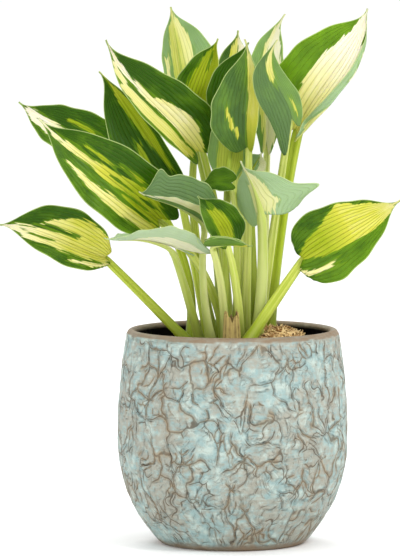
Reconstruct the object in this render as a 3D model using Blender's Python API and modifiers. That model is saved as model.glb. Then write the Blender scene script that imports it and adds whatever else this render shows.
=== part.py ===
"""A potted hosta: a stoneware cover pot, the nursery pot and soil inside it, and the plant.

Metres, +Z up. The origin is the centre of the cover pot's foot, on the ground. +X is to the right and
+Y to the back, seen from the side that most leaves face. Sizes below are in millimetres.
"""

import math
from dataclasses import dataclass

import bmesh
import bpy
import numpy as np
from mathutils import Vector

MM = 0.001
GAP = 0.3  # between pieces that touch
TURN_STEPS = 48
MERGE = 0.00005  # metres

# the cover pot
FOOT_RADIUS = 50.0
BELLY_RADIUS = 79.5
BELLY_HEIGHT = 78.0
POT_HEIGHT = 148.0
RIM_RADIUS = 73.0
POT_WALL = 6.0
POT_FLOOR = 10.0
FOOT_ROUND = 2.0
SWELL_POWER = 2.5  # how fast the pot widens above its foot
INNER_ROUND = 6.0  # between the inner floor and the wall
INNER_RINGS = 9
OUTER_RINGS = 14

# the nursery pot inside it
NURSERY_BOTTOM = POT_FLOOR + GAP
NURSERY_FOOT_RADIUS = 40.0
NURSERY_TOP = 137.0
NURSERY_RADIUS = 55.0
NURSERY_WALL = 1.2
NURSERY_LIP = 2.5
NURSERY_LIP_DROP = 7.0
DRAIN_HOLES = 6
DRAIN_RADIUS = 4.0
DRAIN_CIRCLE = 26.0
DRAIN_SEGMENTS = 12

# the soil and what lies on it
SOIL_FLAT_RADIUS = 45.0
SOIL_TOP = 139.0
SOIL_SHOULDER = (5.0, 3.0)  # how far out and down the mound's rounding goes
SOIL_EDGE = 131.0
HUSK_CENTRE = (41.0, -6.0)
HUSK_RADII = (12.0, 24.0, 7.5)
STALK_START = SOIL_TOP + 2.6  # height of the stalks' and the stump's lower ends
STUB_FOOT = (-1.0, -39.0)
STUB_TOP = (-1.0, -37.5, 163.0)
STUB_RADII = (5.0, 3.4)

# every leaf
BLADE_THICKNESS = 0.8
BLADE_ALONG = 9
BLADE_ACROSS = 6
TIP_HALF_WIDTH = 0.7
SPIKE = 0.72  # how much of the width the tip's spike takes away
SPIKE_LENGTH = 0.16
FLICK_SCALE = 12.2  # makes the flick's curve, t^4 (1 - t), reach 1
SWEEP_SCALE = 6.75  # makes the sweep's curve, t^2 (1 - t), reach 1
LOBE_REACH = 0.93  # share of a half wave that a lobe takes from midrib to margin
LOBE_POWER = 1.2  # moves the lobe's furthest point out towards the margin
LOBE_FADE = 5  # how fast the lobes fade out from base to tip
STALK_POINTS = 8
STALK_CLEARANCE = 1.4  # between a stalk's end and the blade above it


@dataclass(frozen=True)
class Leaf:
    """One leaf, seen with its upper side towards you and its tip up."""

    name: str
    root: tuple  # x and y where the stalk leaves the soil
    via: tuple  # a point halfway up the stalk
    base: tuple  # where the stalk meets the blade
    tip: tuple
    face: tuple  # the way the upper side looks
    half: tuple  # greatest half width, left and right of the midrib
    fold: tuple = (20, 20)  # degrees that each half rises at the midrib
    curl: tuple = (10, 10)  # degrees that it rises further, out to the margin
    roll: tuple = (0, 0)  # further curl at the base, which fades out towards the tip
    arch: float = 4.0  # bow of the midrib towards the face
    flick: float = 2.0  # dip of the midrib behind the face, near the tip
    sweep: float = 0.0  # sideways bend of the midrib, to the right
    twist: float = 0.0  # degrees from base to tip
    lobe: tuple = (7, 7)  # how far each lobe reaches back past the stalk
    neck: float = 0.1  # how wide it already is at the stalk, from 0
    widest: float = 0.3  # share of the length at which it is widest
    taper: float = 0.95  # how fast it narrows towards the tip
    stalk: tuple = (3.4, 2.4)  # radius at the soil and at the blade


LEAVES = [
    Leaf("low_left", (-33, -6), (-60, -3, 169), (-88, -8, 198), (-160, -20, 221), (0.1, -1, 0.1),
         (16, 24), fold=(8, 14), curl=(6, 8), arch=5, sweep=4, lobe=(5, 3), neck=0.03, widest=0.36,
         stalk=(3.6, 2.8)),
    Leaf("back_left", (-29, 10), (-38, 24, 205), (-79, 38, 264), (-149, 50, 302), (-0.2, -1, 0.6),
         (24, 19), arch=4, sweep=-2),
    Leaf("big_left", (-6, 3), (-21, -4, 188), (-51, -20, 225), (-132, -40, 295), (-0.1, -1, 0.45),
         (26, 26), fold=(12, 16), curl=(0, 8), arch=5, sweep=-2, lobe=(8, 10), widest=0.31, taper=1.05),
    Leaf("slim", (-17, 6), (-28, 9, 200), (-38, 8, 248), (-92, 9, 325), (-0.1, -1, 0.3),
         (28, 18), fold=(8, 58), curl=(6, 20), arch=3, sweep=2, lobe=(6, 8)),
    Leaf("upper_left", (-13, 17), (-26, 16, 215), (-25, 9, 270), (-87, -2, 347), (0.1, -1, 0.35),
         (16, 27), fold=(35, 12), curl=(10, 8), arch=6, sweep=-5, twist=35, lobe=(6, 10), widest=0.27),
    Leaf("top", (-8, 27), (-14, 33, 220), (-31, 44, 295), (-43, 64, 368), (0.1, 1, 0.1),
         (25, 15), fold=(15, 20), arch=5, widest=0.45),
    Leaf("lime_folded", (-2, 18), (-10, 24, 220), (-27, 25, 291), (-10, 28, 347), (0.2, -1, 0.2),
         (22, 14), fold=(12, 60), arch=3),
    Leaf("small_cream", (7, 27), (4, 36, 220), (0, 38, 296), (4, 50, 352), (0.0, -1, 0.2),
         (16, 14), arch=3, lobe=(5, 5)),
    Leaf("back_right", (25, 15), (23, 34, 205), (24, 40, 273), (37, 64, 363), (-0.1, -1, 0.3),
         (14, 14), arch=6, sweep=-7, widest=0.45, stalk=(3.2, 2.4)),
    Leaf("big_right", (25, 4), (33, 14, 215), (44, 15, 285), (93, 16, 368), (-0.2, -1, 0.3),
         (34, 24), fold=(8, 20), curl=(6, 30), roll=(0, 90), arch=5, sweep=4, twist=-35, lobe=(9, 7),
         widest=0.36, stalk=(4.2, 3.8)),
    Leaf("spiked", (18, -8), (28, 2, 215), (40, -25, 294), (30, -33, 348), (0.2, -1, 0.2),
         (17, 13), fold=(-10, -20), curl=(-5, -10), arch=4, sweep=-9, lobe=(27, 8), neck=0.16),
    Leaf("dark_centre", (9, 12), (6, 18, 215), (5, 15, 284), (11, 6, 345), (-0.4, -1, 0.3),
         (22, 14), arch=5, sweep=-4),
    Leaf("centre", (9, -6), (10, -12, 205), (10, -13, 274), (8, -19, 348), (-0.3, -1, 0.1),
         (26, 10), arch=5, sweep=4, widest=0.34, taper=1.3, lobe=(3, 3)),
    Leaf("centre_low", (-6, -8), (-5, -13, 200), (-3, -8, 260), (2, -4, 306), (0.0, 1, -0.2),
         (14, 18), fold=(25, 25), arch=3),
    Leaf("front_low", (16, -20), (20, -26, 185), (20, -30, 229), (5, -60, 267), (0.1, 1, 0.9),
         (30, 22), fold=(16, 30), arch=5, lobe=(4, 10), widest=0.12, taper=2.0, stalk=(4.8, 4.2)),
    Leaf("low_right", (10, -34), (29, -28, 170), (48, -30, 199), (114, -36, 239), (-0.1, -1, 0.15),
         (25, 27), fold=(12, 10), curl=(8, 0), arch=5, lobe=(2, 6), neck=0.005, widest=0.24,
         stalk=(4.6, 3.0)),
    Leaf("edge_on", (-23, -14), (-32, -28, 176), (-40, -43, 207), (-87, -74, 216), (0.0, 0.1, 1),
         (31, 20), fold=(14, 14), curl=(4, 4), arch=3, lobe=(22, 22)),
    Leaf("curled", (5, -19), (2, -34, 180), (-4, -47, 213), (-24, -54, 243), (0.2, -1, 0.3),
         (12, 17), arch=4, lobe=(4, 5)),
    Leaf("rolled", (-5, -19), (-8, -35, 180), (-15, -58, 210), (13, -64, 210), (0.0, -1, 0.6),
         (13, 13), fold=(40, 40), curl=(110, 110), arch=2, lobe=(3, 3), stalk=(3.2, 2.2)),
    Leaf("front_folded", (-15, -21), (-20, -27, 184), (-17, -33, 222), (-64, -56, 246), (0.1, -0.3, 1),
         (13, 25), fold=(40, 55), arch=3),
    Leaf("small_dark", (2, 5), (3, -16, 200), (-1, -22, 250), (-21, -17, 251), (0.0, -1, 0.5),
         (10, 10), arch=2, lobe=(3, 3), stalk=(3.2, 2.0)),
    Leaf("small_back", (16, 12), (14, 4, 200), (12, 5, 255), (20, 5, 269), (0.2, 1, 0.2),
         (9, 9), arch=2, lobe=(3, 3), stalk=(3.0, 1.8)),
]

COLLECTION = "potted_hosta"
CUTTERS = "cutters"
COLOURS = {
    "pot": ((0.52, 0.62, 0.62), 0.6),
    "black_plastic": ((0.02, 0.02, 0.02), 0.6),
    "soil": ((0.06, 0.04, 0.03), 0.95),
    "husk": ((0.62, 0.42, 0.2), 0.9),
    "dry_sheath": ((0.35, 0.22, 0.1), 0.85),
    "leaf": ((0.14, 0.36, 0.06), 0.45),
    "stalk": ((0.5, 0.62, 0.2), 0.5),
}


def clear_scene():
    """Removes what the start-up scene holds."""
    for thing in list(bpy.data.objects):
        bpy.data.objects.remove(thing, do_unlink=True)


def new_collection(name):
    """Makes a collection in the scene."""
    collection = bpy.data.collections.new(name)
    bpy.context.scene.collection.children.link(collection)


def new_material(name, colour, roughness):
    """A Principled material of one colour."""
    material = bpy.data.materials.new(name)
    material.use_nodes = True
    material.diffuse_color = (*colour, 1.0)
    shader = material.node_tree.nodes["Principled BSDF"]
    shader.inputs["Base Color"].default_value = (*colour, 1.0)
    shader.inputs["Roughness"].default_value = roughness
    shader.inputs["Metallic"].default_value = 0.0
    return material


def add_object(name, data, material):
    """Puts new mesh or curve data into the part's collection."""
    thing = bpy.data.objects.new(name, data)
    bpy.data.collections[COLLECTION].objects.link(thing)
    colour, roughness = COLOURS[material]
    data.materials.append(new_material(name, colour, roughness))
    return thing


def arc(centre, radius, start, end, steps):
    """Points (r, z) round a centre, from one angle to another in degrees."""
    return [
        (centre[0] + radius * math.cos(math.radians(a)), centre[1] + radius * math.sin(math.radians(a)))
        for a in np.linspace(start, end, steps)
    ]


def turned(name, profile, material):
    """A closed turned solid. The profile runs from the axis, up the inside, over the top, down the
    outside and back to the axis, as (r, z) in mm."""
    mesh = bpy.data.meshes.new(name)
    points = [(r * MM, 0.0, z * MM) for r, z in profile]
    mesh.from_pydata(points, [(i, i + 1) for i in range(len(points) - 1)], [])
    thing = add_object(name, mesh, material)
    screw = thing.modifiers.new("turn", "SCREW")
    screw.axis = "Z"
    screw.angle = math.tau
    screw.steps = screw.render_steps = TURN_STEPS
    screw.use_merge_vertices = True
    screw.merge_threshold = MERGE
    screw.use_smooth_shade = True
    return thing


def pot_radius(height):
    """The cover pot's outer radius: a fast swell up to the belly, then a slow draw in to the rim."""
    if height < BELLY_HEIGHT:
        rise = 1 - height / BELLY_HEIGHT
        return FOOT_RADIUS + (BELLY_RADIUS - FOOT_RADIUS) * (1 - rise**SWELL_POWER)
    rise = (height - BELLY_HEIGHT) / (POT_HEIGHT - BELLY_HEIGHT)
    return BELLY_RADIUS - (BELLY_RADIUS - RIM_RADIUS) * rise**2


def build_cover_pot():
    """The stoneware pot: one wall of even thickness with a rounded lip and a flat foot."""
    lip = POT_WALL / 2
    heights = np.linspace(POT_FLOOR + INNER_ROUND + FOOT_ROUND, POT_HEIGHT - lip, INNER_RINGS)
    inside = [(pot_radius(z) - POT_WALL, z) for z in heights]
    floor_round = arc((inside[0][0] - INNER_ROUND, POT_FLOOR + INNER_ROUND), INNER_ROUND, -90, -15, 4)
    over = arc((RIM_RADIUS - lip, POT_HEIGHT - lip), lip, 150, 30, 4)
    outside = [(pot_radius(z), z) for z in np.linspace(POT_HEIGHT - lip, FOOT_ROUND, OUTER_RINGS)]
    foot = [(FOOT_RADIUS - FOOT_ROUND, 0.0), (0.0, 0.0)]
    turned("cover_pot", [(0.0, POT_FLOOR)] + floor_round + inside + over + outside + foot, "pot")


def nursery_radius(height):
    """The nursery pot's outer radius, which widens evenly upwards."""
    rise = (height - NURSERY_BOTTOM) / (NURSERY_TOP - NURSERY_BOTTOM)
    return NURSERY_FOOT_RADIUS + (NURSERY_RADIUS - NURSERY_FOOT_RADIUS) * rise


def build_nursery_pot():
    """The thin black pot that the plant grows in, with a turned-out lip and drain holes."""
    floor = NURSERY_BOTTOM + NURSERY_WALL
    under_lip = NURSERY_TOP - NURSERY_LIP_DROP
    profile = [
        (0.0, floor),
        (nursery_radius(floor) - NURSERY_WALL, floor),
        (NURSERY_RADIUS - NURSERY_WALL, NURSERY_TOP),
        (NURSERY_RADIUS + NURSERY_LIP, NURSERY_TOP),
        (NURSERY_RADIUS + NURSERY_LIP, under_lip),
        (nursery_radius(under_lip), under_lip),
        (NURSERY_FOOT_RADIUS, NURSERY_BOTTOM),
        (0.0, NURSERY_BOTTOM),
    ]
    pot = turned("nursery_pot", profile, "black_plastic")
    cut = pot.modifiers.new("drain_holes", "BOOLEAN")
    cut.operation = "DIFFERENCE"
    cut.solver = "EXACT"
    cut.object = drain_cutter(floor)


def drain_cutter(floor):
    """One mesh of round plugs, spaced round the pot's floor, that the drain holes are cut with."""
    plugs = bmesh.new()
    for hole in range(DRAIN_HOLES):
        turn = math.tau * hole / DRAIN_HOLES
        made = bmesh.ops.create_cone(
            plugs, cap_ends=True, segments=DRAIN_SEGMENTS, radius1=DRAIN_RADIUS * MM,
            radius2=DRAIN_RADIUS * MM, depth=4 * NURSERY_WALL * MM,
        )
        centre = Vector((DRAIN_CIRCLE * math.cos(turn), DRAIN_CIRCLE * math.sin(turn), floor)) * MM
        bmesh.ops.translate(plugs, verts=made["verts"], vec=centre)
    mesh = bpy.data.meshes.new("drain_cutter")
    plugs.to_mesh(mesh)
    plugs.free()
    cutter = bpy.data.objects.new("drain_cutter", mesh)
    cutter.hide_render = True
    cutter.display_type = "WIRE"
    bpy.data.collections[CUTTERS].objects.link(cutter)
    return cutter


def build_soil():
    """The root ball and soil, which fill the nursery pot up to a low mound."""
    bottom = NURSERY_BOTTOM + NURSERY_WALL + GAP
    inset = NURSERY_WALL + GAP
    profile = [
        (0.0, SOIL_TOP),
        (SOIL_FLAT_RADIUS, SOIL_TOP),
        (SOIL_FLAT_RADIUS + SOIL_SHOULDER[0], SOIL_TOP - SOIL_SHOULDER[1]),
        (nursery_radius(SOIL_EDGE) - inset, SOIL_EDGE),
        (nursery_radius(bottom) - inset, bottom),
        (0.0, bottom),
    ]
    turned("soil", profile, "soil")


def build_husk():
    """The low heap of husk chips on the soil, a half ellipsoid with a flat underside."""
    mesh = bpy.data.meshes.new("husk_mulch")
    heap = bmesh.new()
    bmesh.ops.create_uvsphere(heap, u_segments=20, v_segments=10, radius=1.0)
    below = [v for v in heap.verts if v.co.z < -0.01]
    bmesh.ops.delete(heap, geom=below, context="VERTS")
    bmesh.ops.holes_fill(heap, edges=[e for e in heap.edges if e.is_boundary])
    bmesh.ops.recalc_face_normals(heap, faces=heap.faces)
    bmesh.ops.scale(heap, verts=heap.verts, vec=Vector(HUSK_RADII) * MM)
    heap.to_mesh(mesh)
    heap.free()
    mesh.shade_smooth()
    husk = add_object("husk_mulch", mesh, "husk")
    husk.location = Vector((*HUSK_CENTRE, SOIL_TOP + GAP)) * MM


def tube(name, points, radii, material):
    """A round closed tube along points in mm, with a radius in mm at each."""
    curve = bpy.data.curves.new(name, "CURVE")
    curve.dimensions = "3D"
    curve.bevel_depth = MM
    curve.bevel_resolution = 2
    curve.use_fill_caps = True
    spline = curve.splines.new("POLY")
    spline.points.add(len(points) - 1)
    for knot, point, radius in zip(spline.points, points, radii):
        knot.co = (*(np.asarray(point) * MM), 1.0)
        knot.radius = radius
    spline.use_smooth = True
    add_object(name, curve, material)


def build_stub():
    """The dry stump of an old stalk at the front of the plant."""
    foot = np.array([*STUB_FOOT, STALK_START])
    points = [foot + (np.array(STUB_TOP) - foot) * share for share in (0.0, 0.5, 1.0)]
    tube("dry_stump", points, np.linspace(*STUB_RADII, 3), "dry_sheath")


def unit(vector):
    """The vector at length 1."""
    return vector / np.linalg.norm(vector)


def blade_frame(leaf):
    """The blade's own axes: from base to tip, to the right, and out of the upper side."""
    along = unit(np.subtract(leaf.tip, leaf.base).astype(float))
    face = np.asarray(leaf.face, float)
    out = unit(face - along * (face @ along))
    return along, np.cross(along, out), out


def outline(leaf, share):
    """Half width as a share of the greatest, by the share of the length from base to tip. A power of
    the distance from the base and one from the tip give the heart shape, and the last tenth narrows
    to a spike."""
    left = 1 - share
    reach = leaf.widest + leaf.neck
    swell = leaf.taper * reach / (1 - leaf.widest)
    shape = ((share + leaf.neck) / reach) ** swell * (left / (1 - leaf.widest)) ** leaf.taper
    return shape * (1 - SPIKE * np.exp(-((left / SPIKE_LENGTH) ** 2)))


def blade_point(leaf, share, side):
    """A point of the blade's middle surface, in mm. share runs from base to tip and side from -1 at the
    left margin to 1 at the right. Each half is an arc that leaves the midrib at the fold angle and
    turns by the curl, and the rows near the base bend back into two lobes."""
    along, right, out = blade_frame(leaf)
    length = np.linalg.norm(np.subtract(leaf.tip, leaf.base))
    dip = leaf.flick * FLICK_SCALE
    bow = leaf.arch * 4 * share * (1 - share) - dip * share**4 * (1 - share)
    slope = leaf.arch * 4 * (1 - 2 * share) - dip * (4 * share**3 - 5 * share**4)
    forward = unit(along * length + out * slope)
    lift = np.cross(right, forward)
    turn = math.radians(leaf.twist) * share
    across = right * math.cos(turn) + lift * math.sin(turn)
    lift = lift * math.cos(turn) - right * math.sin(turn)
    half = 1 if side > 0 else 0
    width = max(leaf.half[half] * outline(leaf, share), TIP_HALF_WIDTH)
    fold = math.radians(leaf.fold[half])
    curl = math.radians(leaf.curl[half] + leaf.roll[half] * (1 - share) ** 2) + 1e-6
    far = abs(side)
    flat = width * (math.sin(fold + curl * far) - math.sin(fold)) / curl
    rise = width * (math.cos(fold) - math.cos(fold + curl * far)) / curl
    wave = math.sin(math.pi * LOBE_REACH * far**LOBE_POWER)
    back = leaf.lobe[half] * wave * (1 - share) ** LOBE_FADE
    aside = leaf.sweep * SWEEP_SCALE * share**2 * (1 - share)
    middle = np.asarray(leaf.base) + along * length * share + out * bow + right * aside
    return middle + across * math.copysign(flat, side) + lift * rise - forward * back


def build_blade(leaf):
    """A blade: a flat grid bent to the leaf's surface, with a thickness."""
    mesh = bpy.data.meshes.new(f"blade_{leaf.name}")
    sheet = bmesh.new()
    bmesh.ops.create_grid(sheet, x_segments=BLADE_ACROSS, y_segments=BLADE_ALONG, size=1.0)
    for vertex in sheet.verts:
        side, share = vertex.co.x, (vertex.co.y + 1) / 2
        vertex.co = Vector(blade_point(leaf, share, side)) * MM
    sheet.to_mesh(mesh)
    sheet.free()
    mesh.shade_smooth()
    blade = add_object(mesh.name, mesh, "leaf")
    wall = blade.modifiers.new("thickness", "SOLIDIFY")
    wall.thickness = BLADE_THICKNESS * MM
    wall.offset = 0.0


def stalk_points(leaf):
    """The stalk's centre line: a quadratic curve from the soil, through the via point, to just behind
    the blade's base."""
    out = blade_frame(leaf)[2]
    start = np.array([*leaf.root, STALK_START], float)
    end = np.asarray(leaf.base) - out * (leaf.stalk[1] + STALK_CLEARANCE)
    pull = 2 * np.asarray(leaf.via) - (start + end) / 2
    return [
        start * (1 - t) ** 2 + pull * 2 * t * (1 - t) + end * t**2
        for t in np.linspace(0, 1, STALK_POINTS)
    ]


def build_stalk(leaf):
    """A leaf's stalk, which narrows from the soil to the blade."""
    radii = np.linspace(*leaf.stalk, STALK_POINTS)
    tube(f"stalk_{leaf.name}", stalk_points(leaf), radii, "stalk")


def main():
    """Builds every piece from the ground up."""
    clear_scene()
    new_collection(COLLECTION)
    new_collection(CUTTERS)
    build_cover_pot()
    build_nursery_pot()
    build_soil()
    build_husk()
    build_stub()
    for leaf in LEAVES:
        build_blade(leaf)
        build_stalk(leaf)


main()
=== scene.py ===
"""The looks of a potted hosta: glazed stoneware, moist soil, husk chips and variegated leaves.

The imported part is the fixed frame. Every visible piece is a surface worked out with numpy in
millimetres, in the part's own frame: +X right, +Y back, +Z up, the origin at the cover pot's foot.
"""

import logging
import math
from collections.abc import Callable
from dataclasses import dataclass
from enum import Enum

import bpy
import numpy as np
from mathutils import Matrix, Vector


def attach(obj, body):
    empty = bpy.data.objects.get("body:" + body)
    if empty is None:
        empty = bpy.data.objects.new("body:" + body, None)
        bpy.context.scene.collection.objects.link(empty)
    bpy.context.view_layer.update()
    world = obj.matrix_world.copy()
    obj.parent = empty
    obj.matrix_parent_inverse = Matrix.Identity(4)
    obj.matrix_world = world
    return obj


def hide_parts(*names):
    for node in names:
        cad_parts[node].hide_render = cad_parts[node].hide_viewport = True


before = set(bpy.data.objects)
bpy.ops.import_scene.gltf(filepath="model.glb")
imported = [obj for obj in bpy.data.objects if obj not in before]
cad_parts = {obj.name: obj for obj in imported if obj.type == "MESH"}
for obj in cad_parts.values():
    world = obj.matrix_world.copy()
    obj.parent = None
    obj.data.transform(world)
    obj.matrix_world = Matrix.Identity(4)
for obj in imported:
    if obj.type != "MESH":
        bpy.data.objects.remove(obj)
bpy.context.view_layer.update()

LOG = logging.getLogger("hosta")
MM = 0.001
BODY = "root"
Array = np.ndarray
Colour = tuple[float, float, float]
Stretch = tuple[float, float, float]


# ---------------------------------------------------------------- shader maths


def paint(red: int, green: int, blue: int) -> Colour:
    """A screen colour, 0 to 255 each, as the linear colour that a shader takes.

    Formula: c / 12.92 below the toe, and ((c + 0.055) / 1.055) to the power 2.4 above it.

    Args:
        red: Red, 0 to 255.
        green: Green, 0 to 255.
        blue: Blue, 0 to 255.

    Returns:
        The three linear values.
    """
    shares = np.array([red, green, blue]) / 255
    linear = np.where(shares <= 0.04045, shares / 12.92, ((shares + 0.055) / 1.055) ** 2.4)
    return tuple(float(value) for value in linear)


def math_node(operation: str, turned: bool = False) -> Callable[..., "Wire"]:
    """Makes a method of Wire that adds one Math node.

    Args:
        operation: The node's operation.
        turned: Whether the other value comes first.

    Returns:
        The method.
    """

    def method(self: "Wire", *others: object) -> "Wire":
        """Adds the node, with the other value if there is one."""
        values = (*others, self) if turned else (self, *others)
        return self.tree.node("ShaderNodeMath", {"operation": operation}, dict(enumerate(values)))

    return method


@dataclass(frozen=True)
class Wire:
    """One output socket of a shader, which can be used in sums like a number."""

    tree: "Shader"
    socket: bpy.types.NodeSocket

    __add__ = math_node("ADD")
    __radd__ = math_node("ADD", turned=True)
    __sub__ = math_node("SUBTRACT")
    __rsub__ = math_node("SUBTRACT", turned=True)
    __mul__ = math_node("MULTIPLY")
    __rmul__ = math_node("MULTIPLY", turned=True)
    __abs__ = math_node("ABSOLUTE")
    sine = math_node("SINE")
    at_most = math_node("MINIMUM")
    at_least = math_node("MAXIMUM")

    def step(self, low: float, high: float) -> "Wire":
        """A smooth step from 0 at low to 1 at high.

        Args:
            low: Where the step starts.
            high: Where it ends. A high below low turns the step round.

        Returns:
            The step.
        """
        settings = {"interpolation_type": "SMOOTHSTEP"}
        ends = {"Value": self, "From Min": min(low, high), "From Max": max(low, high)}
        rising = self.tree.node("ShaderNodeMapRange", settings, ends)
        return rising if high > low else 1 - rising


class Shader:
    """A material's nodes, with one Principled shader."""

    def __init__(self, name: str) -> None:
        """Makes the material.

        Args:
            name: The material's name.
        """
        self.material = bpy.data.materials.new(name)
        self.material.use_nodes = True
        self.nodes = self.material.node_tree.nodes
        self.links = self.material.node_tree.links
        self.nodes.clear()
        self.principled = self.nodes.new("ShaderNodeBsdfPrincipled")
        output = self.nodes.new("ShaderNodeOutputMaterial")
        self.links.new(self.principled.outputs[0], output.inputs[0])

    def _fill(self, node: bpy.types.Node, inputs: dict) -> None:
        """Puts values and links into a node's sockets.

        Args:
            node: The node.
            inputs: Values or wires by socket name or number.
        """
        for key, value in inputs.items():
            socket = node.inputs[key]
            if isinstance(value, Wire):
                self.links.new(value.socket, socket)
            elif socket.type == "RGBA" and len(value) == 3:
                socket.default_value = (*value, 1.0)
            else:
                socket.default_value = value

    def node(self, kind: str, settings: dict, inputs: dict, output: object = 0) -> Wire:
        """Adds any node.

        Args:
            kind: The node's type.
            settings: Its properties, which are set first. A colour ramp's stops go under "stops".
            inputs: Values or wires by socket name or number.
            output: The name or number of the output that is wanted.

        Returns:
            That output.
        """
        node = self.nodes.new(kind)
        for name, value in settings.items():
            if name == "stops":
                self._stops(node.color_ramp.elements, value)
            else:
                setattr(node, name, value)
        self._fill(node, inputs)
        return Wire(self, node.outputs[output])

    @staticmethod
    def _stops(elements: bpy.types.bpy_prop_collection, stops: list[tuple[float, Colour]]) -> None:
        """Sets a colour ramp's stops.

        Args:
            elements: The ramp's elements.
            stops: Places from 0 to 1 with their colours, in order.
        """
        while len(elements) < len(stops):
            elements.new(1.0)
        for element, (place, colour) in zip(elements, stops):
            element.position = place
            element.color = (*colour, 1.0)

    def attribute(self, name: str, output: str = "Fac") -> Wire:
        """A value that is stored on the mesh."""
        return self.node("ShaderNodeAttribute", {"attribute_name": name}, {}, output)

    def place(self) -> Wire:
        """The place on the object, in metres."""
        return self.node("ShaderNodeTexCoord", {}, {}, "Object")

    def stretch(self, vector: Wire, scale: tuple[float, float, float]) -> Wire:
        """A vector times a number along each axis."""
        return self.node("ShaderNodeVectorMath", {"operation": "MULTIPLY"}, {0: vector, 1: scale})

    def shift(self, vector: Wire, other: object) -> Wire:
        """The sum of two vectors."""
        return self.node("ShaderNodeVectorMath", {"operation": "ADD"}, {0: vector, 1: other})

    def noise(self, vector: Wire, scale: float, detail: float = 2.0, output: str = "Fac") -> Wire:
        """Soft noise.

        Args:
            vector: Where it is read.
            scale: How many lumps fit into one unit.
            detail: How many finer layers it has.
            output: "Fac" for one value, or "Color" for three.

        Returns:
            The noise, from 0 to 1.
        """
        inputs = {"Vector": vector, "Scale": scale, "Detail": detail}
        return self.node("ShaderNodeTexNoise", {}, inputs, output)

    def mix(self, share: object, first: object, second: object) -> Wire:
        """A colour between two.

        Args:
            share: 0 for the first, 1 for the second.
            first: A colour or a wire.
            second: A colour or a wire.

        Returns:
            The mixed colour.
        """
        settings = {"data_type": "RGBA", "clamp_factor": True}
        return self.node("ShaderNodeMix", settings, {0: share, 6: first, 7: second}, 2)

    def ramp(self, share: Wire, stops: list[tuple[float, Colour]]) -> Wire:
        """A colour that runs through stops."""
        return self.node("ShaderNodeValToRGB", {"stops": stops}, {"Fac": share}, "Color")

    def bump(self, height: Wire, depth: float, under: Wire | None = None) -> Wire:
        """A surface relief.

        Args:
            height: The relief, from 0 to 1.
            depth: How deep it is, in metres.
            under: Another relief below it.

        Returns:
            The bent normal.
        """
        inputs = {"Height": height, "Distance": depth, "Strength": 1.0}
        if under is not None:
            inputs["Normal"] = under
        return self.node("ShaderNodeBump", {}, inputs, "Normal")

    def finish(self, **inputs: object) -> bpy.types.Material:
        """Fills the Principled shader's sockets.

        Args:
            **inputs: Values or wires by socket name, with _ for a space.

        Returns:
            The material.
        """
        self._fill(self.principled, {name.replace("_", " "): value for name, value in inputs.items()})
        return self.material


# ---------------------------------------------------------------- numpy surfaces


def unit(vectors: Array) -> Array:
    """Vectors at length 1, along the last axis."""
    return vectors / np.maximum(np.linalg.norm(vectors, axis=-1, keepdims=True), 1e-12)


def smooth_step(values: Array, low: float, high: float) -> Array:
    """A smooth step: x squared times (3 - 2x), where x runs from 0 at low to 1 at high."""
    share = np.clip((values - low) / (high - low), 0, 1)
    return share * share * (3 - 2 * share)


def lattice(cells: Array, seed: int) -> Array:
    """A repeatable random value from 0 to 1 for whole-number cells.

    Formula: the cell's numbers times large primes, folded with exclusive-or and multiplied again.

    Args:
        cells: Whole numbers, with x, y and z along the last axis.
        seed: Another seed gives other values.

    Returns:
        One value for each cell.
    """
    mixed = cells.astype(np.int64) * np.array([73856093, 19349663, 83492791])
    key = (mixed[..., 0] ^ mixed[..., 1] ^ mixed[..., 2] ^ (seed * 2654435761)) & 0xFFFFFFFF
    key = ((key ^ (key >> 15)) * 2246822519) & 0xFFFFFFFF
    key = ((key ^ (key >> 13)) * 3266489917) & 0xFFFFFFFF
    return (key ^ (key >> 16)) / 0xFFFFFFFF


def lumps(points: Array, size: float, seed: int, layers: int = 2) -> Array:
    """Smooth noise from about -1 to 1.

    Formula: random values at the corners of a lattice, joined by smooth steps, with each layer half
    as large and half as strong as the last.

    Args:
        points: Where it is read, in mm, with x, y and z along the last axis.
        size: The lattice's size in mm.
        seed: Another seed gives other lumps.
        layers: How many layers are added up.

    Returns:
        One value for each point.
    """
    total = np.zeros(points.shape[:-1])
    for layer in range(layers):
        spot = points / (size / 2**layer)
        cell = np.floor(spot).astype(np.int64)
        blend = spot - cell
        blend = blend * blend * (3 - 2 * blend)
        value = np.zeros(points.shape[:-1])
        for corner in np.ndindex(2, 2, 2):
            weight = np.prod(np.where(np.array(corner) == 1, blend, 1 - blend), axis=-1)
            value += weight * lattice(cell + np.array(corner), seed + 101 * layer)
        total += (value * 2 - 1) / 2**layer
    return total


def grid_faces(rows: int, columns: int, start: int = 0) -> Array:
    """Quads of a grid whose columns close into a ring.

    Args:
        rows: Number of rows.
        columns: Number of columns.
        start: The number of the grid's first vertex.

    Returns:
        Four vertex numbers for each quad, wound so that the faces look outwards when the columns
        run anticlockwise, seen from where the rows end.
    """
    row, column = np.meshgrid(np.arange(rows - 1), np.arange(columns), indexing="ij")
    following = (column + 1) % columns
    quads = [row * columns + column, row * columns + following]
    quads += [(row + 1) * columns + following, (row + 1) * columns + column]
    return np.stack(quads, axis=-1).reshape(-1, 4) + start


def fan(first: int, count: int, hub: int, ending: bool) -> list[list[int]]:
    """Triangles from a ring of vertices to its hub.

    Args:
        first: The ring's first vertex.
        count: How many vertices the ring has.
        hub: The hub's vertex.
        ending: Whether the ring ends its grid. The first ring's triangles turn the other way.

    Returns:
        Three vertex numbers for each triangle.
    """
    pairs = [(first + k, first + (k + 1) % count) for k in range(count)]
    return [[one, other, hub] if ending else [other, one, hub] for one, other in pairs]


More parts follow.
